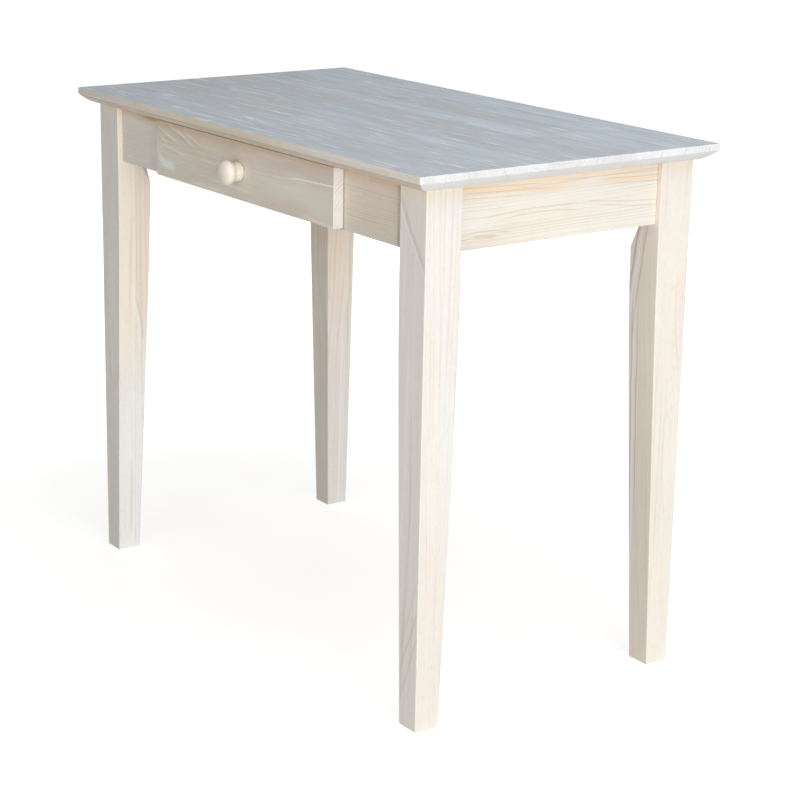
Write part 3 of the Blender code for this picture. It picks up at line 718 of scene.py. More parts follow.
@dataclass(frozen=True)
class StavedTop(Timber):
    """The glued-up top, whose upper face is painted cool grey-blue, a painted sheen of cool light seen at a
    grazing angle, while its edges stay pale.
    """

    # Colours of the painted sheen on the upper face: cool light reflected at a grazing angle, with pale
    # painted glints along the grain.
    sheen_grey: str = "#CEDAE5"
    sheen_deep: str = "#B5BFC8"
    sheen_warm: str = "#C6CBCF"
    sheen_glint: str = "#EEF5FC"
    sheen_line: str = "#A7A9AB"
    sheen_blush: str = "#C7C0BE"
    nose: str = "#FFF8EA"
    nose_show: float = 0.8
    nose_from: Pair = (0.12, 0.35)
    grey_patch: float = 1.9
    grey_band: float = 0.4
    grey_fibre: float = 1.0
    grey_strip: float = 0.8
    grey_base: float = 0.33
    warm_strip: float = 1.5
    warm_base: float = 0.06
    grey_blush: float = 0.25
    grey_ring: float = 0.28
    grey_streak: float = 0.8
    grey_pore: float = 0.18
    grey_joint: float = 0.32
    upper_from: Pair = (0.55, 0.95)

    def colour(self, g: Graph, wood: Fibres) -> Wire:
        """Mixes bare edges with the painted cool sheen of the upper face.

        Args:
            g: The material's graph.
            wood: The wood at a point.

        Returns:
            The colour.
        """
        bare = super().colour(g, wood)
        corner = abs(wood.facing[0]) * abs(wood.facing[1])
        bare = g.mix(g.smooth(corner, *self.nose_from) * self.nose_show, bare, linear(self.nose))
        tone = wood.patch.centred() * self.grey_patch + wood.band.centred() * self.grey_band
        tone = tone + wood.coarse.centred() * self.grey_fibre + self.grey_base
        tone = tone + wood.strip_tone * self.grey_strip
        grey = g.mix(tone, linear(self.sheen_grey), linear(self.sheen_deep))
        layers = (
            (wood.strip_tone * self.warm_strip + self.warm_base, self.sheen_warm),
            (wood.blush * self.grey_blush, self.sheen_blush),
            (wood.ring * self.grey_ring, self.sheen_line),
            (wood.streak * self.grey_streak, self.sheen_glint),
            (wood.pore * self.grey_pore, self.sheen_line),
            (wood.joint * self.grey_joint, self.sheen_line),
        )
        for share, shade in layers:
            grey = g.mix(share, grey, linear(shade))
        # Faces that look up take the painted sheen.
        return g.mix(g.smooth(wood.facing[2], *self.upper_from), bare, grey)


@dataclass(frozen=True)
class TurnedWood(Timber):
    """Fine, even wood for turned work, sanded smoother than the boards."""

    ring_show: float = 0.16
    pore_show: float = 0.10
    streak_show: float = 0.15
    rough: float = 0.46
    relief: float = 0.12


@dataclass(frozen=True)
class ZincSteel:
    """Bright zinc on steel, faintly clouded, with fine scuffs."""

    light: str = "#C9CBCC"
    dull: str = "#A9A69C"
    bright: str = "#E3E4E2"
    rough: float = 0.34
    cloud: float = 0.004
    cloud_rough: float = 0.6
    cloud_from: Pair = (0.35, 0.70)
    scuff: float = 0.0006
    edge_reach: float = 0.0006
    edge_show: float = 0.5
    gloss_cloud: float = 0.20
    gloss_scuff: float = 0.12
    relief: float = 0.15
    relief_depth: float = 0.0001
    relief_cloud: float = 0.5

    def material(self, name: str) -> bpy.types.Material:
        """Builds the material.

        Args:
            name: Name of the material.

        Returns:
            The material.
        """
        g = Graph(name)
        place = g.place()
        cloud = g.noise(place / self.cloud, detail=2.0, rough=self.cloud_rough)
        scuff = g.noise(place / self.scuff, detail=1.0)
        edge = g.arris(self.edge_reach)
        shade = g.mix(g.smooth(cloud, *self.cloud_from), linear(self.light), linear(self.dull))
        shade = g.mix(edge * self.edge_show, shade, linear(self.bright))
        height = scuff + cloud * self.relief_cloud
        bump = {"Strength": self.relief, "Distance": self.relief_depth, "Height": height}
        rough = self.rough + self.gloss_cloud * cloud.centred() + self.gloss_scuff * scuff.centred()
        return g.finish(
            {
                "Base Color": shade,
                "Metallic": 1.0,
                "Roughness": rough,
                "Normal": g.node("ShaderNodeBump", None, bump),
            }
        )


class Shape:
    """A mesh in the making, with the ways of forming a body that the table needs."""

    def __init__(self) -> None:
        """Starts empty."""
        self.bm = bmesh.new()

    def loft(self, rings: Sequence[Sequence[Point]], closed: bool = True) -> "Shape":
        """Skins a stack of rings that have the same number of points.

        Args:
            rings: The rings, from one end to the other.
            closed: Whether the first and last ring get a face.

        Returns:
            This shape.
        """
        loops = [[self.bm.verts.new(point) for point in ring] for ring in rings]
        for lower, upper in zip(loops, loops[1:]):
            for i, start in enumerate(lower):
                j = (i + 1) % len(lower)
                self.bm.faces.new((start, lower[j], upper[j], upper[i]))
        if closed:
            self.bm.faces.new(loops[0])
            self.bm.faces.new(loops[-1])
        return self

    def turn(self, profile: Sequence[Pair], sides: int) -> "Shape":
        """Spins a profile of (radius, height) points round local Z.

        Args:
            profile: The points, from top to foot. A body with a hole ends where it starts.
            sides: Number of facets round the axis.

        Returns:
            This shape.
        """
        verts = [self.bm.verts.new((radius, 0.0, height)) for radius, height in profile]
        edges = [self.bm.edges.new(pair) for pair in zip(verts, verts[1:])]
        bmesh.ops.spin(
            self.bm,
            geom=verts + edges,
            cent=(0.0, 0.0, 0.0),
            axis=UP,
            angle=math.tau,
            steps=sides,
            use_merge=True,
        )
        bmesh.ops.remove_doubles(self.bm, verts=self.bm.verts, dist=MERGE_DISTANCE)
        return self

    def board(self, low: Point, high: Point) -> "Shape":
        """Adds a box.

        Args:
            low: Its lowest corner.
            high: Its highest corner.

        Returns:
            This shape.
        """
        low, high = Vector(low), Vector(high)
        place = Matrix.Translation((low + high) / 2) @ Matrix.Diagonal((*(high - low), 1.0))
        bmesh.ops.create_cube(self.bm, size=1.0, matrix=place)
        return self

    def copy(self, node: str) -> "Shape":
        """Starts from the solid of a CAD node, with its flat faces joined up again.

        Args:
            node: Name of the node.

        Returns:
            This shape.
        """
        self.bm.from_mesh(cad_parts[node].data)
        bmesh.ops.remove_doubles(self.bm, verts=self.bm.verts, dist=MERGE_DISTANCE)
        bmesh.ops.dissolve_limit(
            self.bm,
            angle_limit=FLAT_ANGLE,
            verts=self.bm.verts,
            edges=self.bm.edges,
            use_dissolve_boundaries=False,
        )
        return self

    def ease(self, width: float, steps: int, edges: Iterable[bmesh.types.BMEdge] | None = None) -> "Shape":
        """Rounds sharp edges.

        Args:
            width: How far the rounding reaches from each edge.
            steps: Facets across the rounding.
            edges: The edges to round, or every sharp one.

        Returns:
            This shape.
        """
        if edges is None:
            edges = [edge for edge in self.bm.edges if edge.calc_face_angle(0.0) > SHARP_ANGLE]
        bmesh.ops.bevel(
            self.bm,
            geom=list(edges),
            offset=width,
            segments=steps,
            profile=ROUND_PROFILE,
            affect="EDGES",
            clamp_overlap=True,
        )
        return self

    def move(self, place: Matrix) -> "Shape":
        """Moves the whole shape."""
        self.bm.transform(place)
        return self

    def piece(self, name: str, material: bpy.types.Material) -> bpy.types.Object:
        """Ends the making and gives the object.

        Args:
            name: Name of the object and its mesh.
            material: Its finish.

        Returns:
            The object, in the scene.
        """
        bmesh.ops.recalc_face_normals(self.bm, faces=self.bm.faces)
        mesh = bpy.data.meshes.new(name)
        self.bm.to_mesh(mesh)
        self.bm.free()
        mesh.shade_smooth()
        mesh.set_sharp_from_angle(angle=SHARP_ANGLE)
        mesh.materials.append(material)
        obj = bpy.data.objects.new(name, mesh)
        bpy.context.scene.collection.objects.link(obj)
        even = obj.modifiers.new("even_shading", "WEIGHTED_NORMAL")
        even.keep_sharp = True
        return obj


def rounded_ring(low: Point, high: Point, radius: float, steps: int, z: float) -> list[Vector]:
    """Ring of a rectangle with rounded corners at one height.

    Args:
        low: Lowest x and y.
        high: Highest x and y.
        radius: Corner radius.
        steps: Facets in each corner.
        z: Height of the ring.

    Returns:
        The ring's points, anticlockwise from the +X side.
    """
    left, front = low[0] + radius, low[1] + radius
    right, back = high[0] - radius, high[1] - radius
    ring = []
    for quarter, (x, y) in enumerate(((right, back), (left, back), (left, front), (right, front))):
        for step in range(steps + 1):
            angle = (quarter + step / steps) * math.pi / 2
            ring.append(Vector((x + radius * math.cos(angle), y + radius * math.sin(angle), z)))
    return ring


def polar(radius: float, angle: float, z: float) -> Vector:
    """Point at a radius and an angle round Z, at a height."""
    return Vector((radius * math.cos(angle), radius * math.sin(angle), z))


def quarter_turn(step: int, steps: int) -> float:
    """Angle of one step of a quarter turn."""
    return math.pi / 2 * step / steps


def node_box(node: str) -> tuple[Vector, Vector]:
    """Lowest and highest corner of a CAD node."""
    low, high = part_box(node)
    return Vector(low), Vector(high)


def node_middle(node: str) -> Vector:
    """Middle of a CAD node's box."""
    low, high = node_box(node)
    return (low + high) / 2


@dataclass
class SubAssembly:
    """Pieces that move together on one body."""

    body: str = TABLE_BODY
    made: list[str] = field(default_factory=list)
    board_ease: float = 0.0008
    board_ease_steps: int = 3
    board_edge: float = 0.015

    def stand_in(self, obj: bpy.types.Object, slot: str, *nodes: str) -> None:
        """Lets a finished mesh stand for CAD nodes and ride on this group's body.

        Args:
            obj: The mesh.
            slot: The record's material slot; not used.
            *nodes: The CAD nodes it replaces.
        """
        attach(obj, self.body)
        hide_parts(*nodes)
        self.made.append(obj.name)
        LOG.info("%s stands for %s on %s", obj.name, ", ".join(nodes), self.body)

    def is_long_arris(self, edge: bmesh.types.BMEdge) -> bool:
        """Whether an edge is a long, sharp outer one."""
        sharp = edge.is_convex and edge.calc_face_angle(0.0) > SHARP_ANGLE
        return sharp and edge.calc_length() > self.board_edge

    def board(self, node: str, slot: str, finish: Timber) -> None:
        """Makes a board from its solid, with its long outer edges eased.

        Args:
            node: The CAD node it stands for.
            slot: The record's material slot.
            finish: Its wood.
        """
        shape = Shape().copy(node)
        edges = [edge for edge in shape.bm.edges if self.is_long_arris(edge)]
        shape.ease(self.board_ease, self.board_ease_steps, edges)
        material = finish.material(f"{node}_wood", node_middle(node))
        self.stand_in(shape.piece(f"eased_{node}", material), slot, node)

    def report(self) -> None:
        """Says how many pieces the group holds."""
        LOG.info("%s: %d pieces", type(self).__name__, len(self.made))


@dataclass
class Top(SubAssembly):
    """Edge-glued slab with an upright band above a thumbnail bevel."""

    band: float = 0.0095
    arris: float = 0.0020
    arris_steps: int = 6
    bevel_run: float = 0.022
    bevel_curve: float = 1.65
    bevel_steps: int = 18
    corner: float = 0.003
    corner_steps: int = 8
    hold: float = 0.004
    finish: StavedTop = StavedTop(
        grain=Axis.X,
        light="#EBE3D6",
        deep="#DBD0BF",
        pith=(0.0, 0.06),
        lean=(0.0, 0.0),
        wave=0.003,
        seed=4.0,
        end_tone="#F7FAFD",
        end_deep="#EAE9E9",
        end_show=0.9,
        end_from=(0.10, 0.40),
        end_lines=0.35,
        end_zones=(Zone(Axis.Z, 0.0024, 0.0008, "#F4F8FA", 0.6),),
        streak_from=(0.57, 0.70),
        fibre_show=1.3,
        streak_size=(0.075, 0.0042),
        patch_size=(0.14, 0.022),
        zones=(
            Zone(Axis.X, 0.04, 0.34, "#F2EBE0", 0.65),
            Zone(Axis.X, -0.24, -0.12, "#D9CCAE", 0.45, until=0.06),
            Zone(Axis.X, -0.24, -0.40, "#D8D6CF", 0.55),
            # Painted shade on the down-facing bevel below the band, then painted bounce light on the bevel's
            # lower part.
            Zone(Axis.Z, 0.0024, 0.0006, "#BFAF9A", 0.65),
            Zone(Axis.Z, -0.0010, -0.0050, "#D8CCBD", 0.65),
        ),
        glue=Glueup(
            across=Axis.Y,
            lines=(-0.2035, -0.1530, -0.1011, -0.0517, 0.0004, 0.0502, 0.1010, 0.1519, 0.2040),
            butts=(
                (0.3886,),
                (0.1886,),
                (-0.0343,),
                (-0.1200,),
                (0.2229,),
                (0.2170,),
                (-0.1650, 0.2858),
                (-0.0857, 0.2800),
                (-0.1000, 0.2100),
                (0.0500,),
            ),
            heart=((0, 0), (1, 1), (2, 0), (3, 0), (4, 1), (5, 0), (6, 2), (7, 1)),
            tone=0.5,
            heart_tone=0.45,
        ),
    )

    def build(self) -> None:
        """Makes the slab."""
        low, high = node_box("table_top")
        drop = high.z - low.z - self.band
        levels = [(self.bevel_run + self.hold, low.z)]
        for step in range(self.bevel_steps + 1):
            share = step / self.bevel_steps
            levels.append((self.bevel_run * (1 - share), low.z + drop * share**self.bevel_curve))
        for step in range(self.arris_steps + 1):
            angle = quarter_turn(step, self.arris_steps)
            levels.append((self.arris * (1 - math.cos(angle)), high.z - self.arris * (1 - math.sin(angle))))
        levels.append((self.arris + self.hold, high.z))
        rings = []
        for inset, z in levels:
            inner_low, inner_high = (low.x + inset, low.y + inset), (high.x - inset, high.y - inset)
            rings.append(rounded_ring(inner_low, inner_high, self.corner, self.corner_steps, z))
        material = self.finish.material("top_staves", (low + high) / 2)
        obj = Shape().loft(rings).piece("staved_top", material)
        self.stand_in(obj, "top_wood", "table_top")
        self.report()


@dataclass
class Legs(SubAssembly):
    """Four square legs, tapered on their inner faces, with a chamfered seat for the corner bolt."""

    width: float = 0.0572
    foot: float = 0.0381
    taper_start: float = 0.012
    taper_ease: float = 0.17
    ease_steps: int = 24
    round: float = 0.0018
    round_steps: int = 5
    foot_ease: float = 0.001
    foot_steps: int = 3
    seat: float = 0.015
    seat_below: float = 0.010
    seat_runout: float = 0.030
    seat_steps: int = 6
    seat_round_steps: int = 3
    apron_bottom: float = 0.6525

    def side_at(self, z: float) -> float:
        """Works out the eased taper.

        Args:
            z: Height above the floor.

        Returns:
            Side of the square section there.
        """
        start = self.apron_bottom - self.taper_start
        slope = (self.width - self.foot) / (start - self.taper_ease / 2)
        below = max(start - z, 0.0)
        if below < self.taper_ease:
            return self.width - slope * below**2 / (2 * self.taper_ease)
        return self.width - slope * (below - self.taper_ease / 2)

    def seat_at(self, z: float) -> float:
        """Works out the bolt seat and its run-out.

        Args:
            z: Height above the floor.

        Returns:
            How far the inner corner's chamfer reaches along each face, never less than the plain rounding.
        """
        seat_end = self.apron_bottom - self.seat_below
        runout_end = seat_end - self.seat_runout
        seat_depth = 2 * self.width - self.seat
        share = min(max((seat_end - z) / (seat_end - runout_end), 0.0), 1.0)
        depth = seat_depth + (2 * self.side_at(runout_end) - seat_depth) * share
        cut = max(2 * self.side_at(z) - depth, 0.0)
        least = self.round * (2 - math.sqrt(2))
        return math.hypot(cut, least)

    def ring(self, z: float, inset: float = 0.0) -> list[Vector]:
        """Section of a leg in its corner's frame, outer faces on x = 0 and y = 0.

        Args:
            z: Height of the section.
            inset: How far the foot's easing pulls the section in.

        Returns:
            The section's points.
        """
        side = self.side_at(max(z, self.foot_ease)) - inset
        seat = self.seat_at(z)
        corners = [
            (Vector((inset, inset)), self.round_steps, self.round),
            (Vector((side, inset)), self.round_steps, self.round),
            (Vector((side, side - seat)), self.seat_round_steps, min(self.round, seat / 2)),
            (Vector((side - seat, side)), self.seat_round_steps, min(self.round, seat / 2)),
            (Vector((inset, side)), self.round_steps, self.round),
        ]
        points = []
        for at, (corner, steps, radius) in enumerate(corners):
            before = (corners[at - 1][0] - corner).normalized()
            after = (corners[(at + 1) % len(corners)][0] - corner).normalized()
            half = before.angle(after) / 2
            start = corner + before * (radius / math.tan(half))
            end = corner + after * (radius / math.tan(half))
            centre = corner + (before + after).normalized() * (radius / math.sin(half))
            sweep = (start - centre).angle_signed(end - centre)
            for step in range(steps + 1):
                turn = Matrix.Rotation(-sweep * step / steps, 2)
                spot = centre + turn @ (start - centre)
                points.append(Vector((spot.x, spot.y, z)))
        return points

    def levels(self, top: float) -> list[float]:
        """Chooses where a leg has its sections.

        Args:
            top: Height of the leg's upper end.

        Returns:
            Heights of the sections above the foot's easing, from low to high.
        """
        start = self.apron_bottom - self.taper_start
        seat_end = self.apron_bottom - self.seat_below
        ease, runout = range(self.ease_steps + 1), range(self.seat_steps + 1)
        heights = {start - self.taper_ease * step / self.ease_steps for step in ease}
        heights |= {seat_end - self.seat_runout * step / self.seat_steps for step in runout}
        heights |= {self.foot_ease, self.foot_ease * 2, top}
        return sorted(heights)

    def build(self, finishes: Mapping[Corner, Timber]) -> None:
        """Makes the legs.

        Args:
            finishes: The wood of each leg.
        """
        for corner, finish in finishes.items():
            node = f"leg_{corner.side}"
            low, high = node_box(node)
            sign_x, sign_y, quarters = corner.value
            outer = Vector((low.x if sign_x < 0 else high.x, low.y if sign_y < 0 else high.y, 0.0))
            place = Matrix.Translation(outer) @ Matrix.Rotation(quarters * math.pi / 2, 4, "Z")
            rings = []
            for step in range(self.foot_steps):
                angle = quarter_turn(step, self.foot_steps)
                inset = self.foot_ease * (1 - math.sin(angle))
                rings.append(self.ring(self.foot_ease * (1 - math.cos(angle)), inset))
            rings += [self.ring(z) for z in self.levels(high.z)]
            material = finish.material(f"{node}_wood", (low + high) / 2)
            obj = Shape().loft(rings).move(place).piece(f"tapered_{node}", material)
            self.stand_in(obj, "leg_wood", node)
        self.report()


@dataclass
class Aprons(SubAssembly):
    """Four boards between the legs, the front one cut out for the drawer."""

    def build(self, finishes: Mapping[str, Timber]) -> None:
        """Makes the boards.

        Args:
            finishes: The wood of each board by its node.
        """
        for node, finish in finishes.items():
            self.board(node, "apron_wood", finish)
        self.report()


@dataclass
class Fixings(SubAssembly):
    """A group that is held by screws, and the way they are made."""

    screw_head: float = 0.008
    screw_head_height: float = 0.003
    screw_dome: float = 0.0012
    screw_dome_steps: int = 5
    screw_edge: float = 0.0003
    screw_neck: float = 0.0012
    screw_crest: float = 0.004
    screw_core: float = 0.0028
    screw_pitch: float = 0.0018
    screw_point: float = 0.006
    screw_tip: float = 0.0004
    recess_arm: float = 0.0046
    recess_width: float = 0.0013
    recess_depth: float = 0.0016
    recess_taper: float = 0.55
    thread_steps: int = 5

    def spokes(self) -> list[float]:
        """Chooses the angles of a fastener's rings.

        Returns:
            Angles round the axis, with one at each corner of the cross recess.
        """
        corner = math.atan2(self.recess_width, self.recess_arm)
        quarter = (0.0, corner, math.pi / 6, math.pi / 4, math.pi / 3, math.pi / 2 - corner)
        return [turn * math.pi / 2 + angle for turn in range(4) for angle in quarter]

    def circle(self, radius: float, z: float) -> list[Vector]:
        """Ring of one radius at a height."""
        return [polar(radius, angle, z) for angle in self.spokes()]

    def recess(self, scale: float, z: float) -> list[Vector]:
        """Ring of the cross recess at a height.

        Args:
            scale: Size of the cross against its mouth.
            z: Height of the ring.

        Returns:
            The ring's points.
        """
        arm, side = self.recess_arm / 2, self.recess_width / 2
        ring = []
        for angle in self.spokes():
            x, y = (max(abs(share), MERGE_DISTANCE) for share in (math.cos(angle), math.sin(angle)))
            reach = scale * max(min(arm / x, side / y), min(side / x, arm / y))
            ring.append(polar(reach, angle, z))
        return ring

    def thread(
        self, start: float, end: float, core: float, crest: float, pitch: float
    ) -> list[list[Vector]]:
        """Rings of a screw thread, which fades in and out over one turn.

        Args:
            start: Height of the first ring.
            end: Height of the last ring.
            core: Radius between the ridges.
            crest: Radius on the ridges.
            pitch: Travel in one turn.

        Returns:
            The rings from start to end.
        """
        count = round(abs(end - start) / pitch * self.thread_steps)
        rings = []
        for at in range(count + 1):
            z = start + (end - start) * at / count
            rise = (crest - core) * min(at, count - at, self.thread_steps) / self.thread_steps
            ring = []
            for angle in self.spokes():
                turn = (z / pitch + angle / math.tau) % 1.0
                radius = core + rise * (1 - 2 * abs(turn - 0.5))
                ring.append(polar(radius, angle, z))
            rings.append(ring)
        return rings

    def fasten(self, shape: Shape, kind: str, node: str, metal: bpy.types.Material) -> None:
        """Ends the making of a fastener, named by its kind and node, and lets it stand for that node."""
        self.stand_in(shape.piece(f"{kind}_{node}", metal), "zinc_steel", node)

    def screw(self, node: str, direction: Vector, metal: bpy.types.Material) -> None:
        """Makes one pan-head screw with a cross recess.

        Args:
            node: The CAD node it stands for, whose box gives its place and length.
            direction: The way its point looks, along one of the main axes.
            metal: Its finish.
        """
        low, high = node_box(node)
        whole = abs((high - low).dot(direction))
        length = whole - self.screw_head_height
        seat = (low + high) / 2 + direction * (self.screw_head_height - whole / 2)
        head, height = self.screw_head / 2, self.screw_head_height
        inner, floor = head - self.screw_dome, height - self.recess_depth
        rings = [self.circle(self.screw_tip / 2, floor)]
        rings.append(self.recess(self.recess_taper, floor))
        rings.append(self.recess(1.0, height))
        for step in range(self.screw_dome_steps + 1):
            angle = quarter_turn(step, self.screw_dome_steps)
            fall = self.screw_dome * (1 - math.cos(angle))
            rings.append(self.circle(inner + self.screw_dome * math.sin(angle), height - fall))
        core, crest = self.screw_core / 2, self.screw_crest / 2
        rings.append(self.circle(head, self.screw_edge))
        rings.append(self.circle(head - self.screw_edge, 0.0))
        rings.append(self.circle(crest, 0.0))
        rings += self.thread(-self.screw_neck, self.screw_point - length, core, crest, self.screw_pitch)
        rings.append(self.circle(self.screw_tip, -length))
        place = Matrix.Translation(seat) @ (-direction).to_track_quat("Z", "Y").to_matrix().to_4x4()
        self.fasten(Shape().loft(rings).move(place), "cross_head", node, metal)


@dataclass
class CornerJoints(Fixings):
    """Blocks, bolts, washers, wing nuts and screws that hold each corner together."""

    bolt_length: float = 0.0766
    bolt_radius: float = 0.004
    bolt_chamfer: float = 0.001
    lag_end: float = 0.030
    lag_core: float = 0.0031
    lag_pitch: float = 0.003
    machine_length: float = 0.026
    machine_core: float = 0.0034
    machine_pitch: float = 0.00125
    washer_rim: float = 0.011
    washer_bore: float = 0.0043
    washer_thick: float = 0.0016
    washer_ease: float = 0.0004
    washer_sides: int = 48
    nut_ease: float = 0.0005
    ease_steps: int = 3

    def axis_place(self, node: str, inward: Vector, length: float) -> Matrix:
        """Frame at the foot of a fastener that looks inwards from the corner."""
        foot = node_middle(node) - inward * (length / 2)
        return Matrix.Translation(foot) @ inward.to_track_quat("Z", "Y").to_matrix().to_4x4()

    def bolt(self, node: str, inward: Vector, metal: bpy.types.Material) -> None:
        """Makes a hanger bolt, with a coarse thread in the leg and a fine one for the nut.

        Args:
            node: The CAD node it stands for.
            inward: From the corner towards the middle of the table.
            metal: Its finish.
        """
        radius, tip, end = self.bolt_radius, self.bolt_radius - self.bolt_chamfer, self.bolt_length
        rings = [self.circle(tip, 0.0)]
        rings += self.thread(self.bolt_chamfer, self.lag_end, self.lag_core, radius, self.lag_pitch)
        rings.append(self.circle(radius, self.lag_end + self.bolt_chamfer))
        fine_from, fine_to = end - self.machine_length, end - self.bolt_chamfer
        rings.append(self.circle(radius, fine_from - self.bolt_chamfer))
        rings += self.thread(fine_from, fine_to, self.machine_core, radius, self.machine_pitch)
        rings.append(self.circle(tip, end))
        self.fasten(Shape().loft(rings).move(self.axis_place(node, inward, end)), "threaded", node, metal)

    def washer(self, node: str, inward: Vector, metal: bpy.types.Material) -> None:
        """Makes a washer with rounded edges.

        Args:
            node: The CAD node it stands for.
            inward: From the corner towards the middle of the table.
            metal: Its finish.
        """
        rim, bore, thick = self.washer_rim, self.washer_bore, self.washer_thick
        ring = [(rim, thick), (rim, 0.0), (bore, 0.0), (bore, thick), (rim, thick)]
        shape = Shape().turn(ring, self.washer_sides).ease(self.washer_ease, self.ease_steps)
        shape.move(self.axis_place(node, inward, thick))
        self.fasten(shape, "rounded", node, metal)

    def wing_nut(self, node: str, metal: bpy.types.Material) -> None:
        """Makes a wing nut from its solid, with eased edges."""
        self.fasten(Shape().copy(node).ease(self.nut_ease, self.ease_steps), "eased", node, metal)

    def build(self, block_finish: Timber, steel: ZincSteel) -> None:
        """Makes the blocks and the fasteners.

        Args:
            block_finish: The wood of the corner blocks.
            steel: The finish of the fasteners.
        """
        metal = steel.material("fastener_zinc")
        for corner in Corner:
            side, (sign_x, sign_y, quarters) = corner.side, corner.value
            wood = replace(block_finish, seed=block_finish.seed + quarters)
            self.board(f"corner_block_{side}", "inner_wood", wood)
            inward = Vector((-sign_x, -sign_y, 0.0)).normalized()
            self.bolt(f"hanger_bolt_{side}", inward, metal)
            self.washer(f"bolt_washer_{side}", inward, metal)
            self.wing_nut(f"wing_nut_{side}", metal)
            self.screw(f"top_screw_{side}", UP, metal)
            turn = Matrix.Rotation(quarters * math.pi / 2, 3, "Z")
            self.screw(f"block_screw_{side}_a", turn @ Vector((0.0, -1.0, 0.0)), metal)
            self.screw(f"block_screw_{side}_b", turn @ Vector((-1.0, 0.0, 0.0)), metal)
        self.report()


@dataclass
class Guides(SubAssembly):
    """Runners and kickers of the drawer."""

    def build(self, finish: Timber) -> None:
        """Makes the guides.

        Args:
            finish: Their wood.
        """
        sides = ("left", "right")
        nodes = [f"drawer_{kind}_{side}" for kind in ("runner", "kicker") for side in sides]
        for at, node in enumerate(nodes):
            self.board(node, "inner_wood", replace(finish, seed=finish.seed + at))
        self.report()


@dataclass
class Drawer(Fixings):
    """Overlay front with its knob, and the dovetailed box behind it."""

    body: str = DRAWER_BODY
    box_slots: dict[str, str] = field(
        default_factory=lambda: {"drawer_bottom": "panel_wood", "drawer_stop": "inner_wood"}
    )
    front_ease: float = 0.0004
    front_steps: int = 4
    knob_head: float = 0.035
    knob_thick: float = 0.0216
    knob_bead: float = 0.028
    knob_neck: float = 0.0215
    knob_foot: float = 0.0242
    knob_length: float = 0.031
    knob_sides: int = 72
    head_steps: int = 28
    bead_steps: int = 18

    def front(self, finish: Timber) -> None:
        """Makes the overlay front.

        Args:
            finish: Its wood.
        """
        low, high = node_box("drawer_front")
        shape = Shape().board(low, high).ease(self.front_ease, self.front_steps)
        obj = shape.piece("overlay_front", finish.material("drawer_front_wood", (low + high) / 2))
        self.stand_in(obj, "drawer_front_wood", "drawer_front")

    def knob_profile(self) -> list[Pair]:
        """Draws the knob's outline.

        Returns:
            Points of radius and height, from the crown of the head to the middle of the foot.
        """
        head, neck, foot = self.knob_head / 2, self.knob_neck / 2, self.knob_foot / 2
        swell = self.knob_bead / 2 - (neck + foot) / 2
        half = self.knob_thick / 2
        sweep = math.pi / 2 + math.acos(neck / head)
        profile = []
        for step in range(self.head_steps + 1):
            angle = sweep * step / self.head_steps
            profile.append((head * math.sin(angle), self.knob_length - half + half * math.cos(angle)))
        neck_height = profile[-1][1]
        for step in range(1, self.bead_steps + 1):
            angle = math.pi * step / self.bead_steps
            down = (1 - math.cos(angle)) / 2
            radius = neck + (foot - neck) * down + swell * math.sin(angle)
            profile.append((radius, neck_height * (1 - down)))
        return profile + [(0.0, 0.0)]

    def knob(self, finish: Timber) -> None:
        """Turns the knob and stands it on the front.

        Args:
            finish: Its wood.
        """
        low, high = node_box("drawer_knob")
        middle = (low + high) / 2
        stand = Matrix.Translation((middle.x, high.y, middle.z)) @ Matrix.Rotation(math.pi / 2, 4, "X")
        shape = Shape().turn(self.knob_profile(), self.knob_sides).move(stand)
        obj = shape.piece("turned_knob", finish.material("knob_wood", middle))
        self.stand_in(obj, "knob_wood", "drawer_knob")

    def build(self, finishes: Mapping[str, Timber], steel: ZincSteel) -> None:
        """Makes the drawer.

        Args:
            finishes: The wood of each piece by its node.
            steel: The finish of its screws.
        """
        for node, finish in finishes.items():
            if node == "drawer_front":
                self.front(finish)
            elif node == "drawer_knob":
                self.knob(finish)
            else:
                self.board(node, self.box_slots.get(node, "drawer_box_wood"), finish)
        metal = steel.material("drawer_screw_zinc")
        for node in ("drawer_front_screw_left", "drawer_front_screw_right", "knob_screw"):
            self.screw(node, Vector((0.0, -1.0, 0.0)), metal)
        self.screw("stop_screw", Vector((0.0, 1.0, 0.0)), metal)
        self.report()


@dataclass(frozen=True)
class Softbox:
    """One area lamp that faces the table, its place given round the table in degrees."""

    name: str
    watts: float
    width: float
    height: float
    distance: float
    azimuth: float
    elevation: float


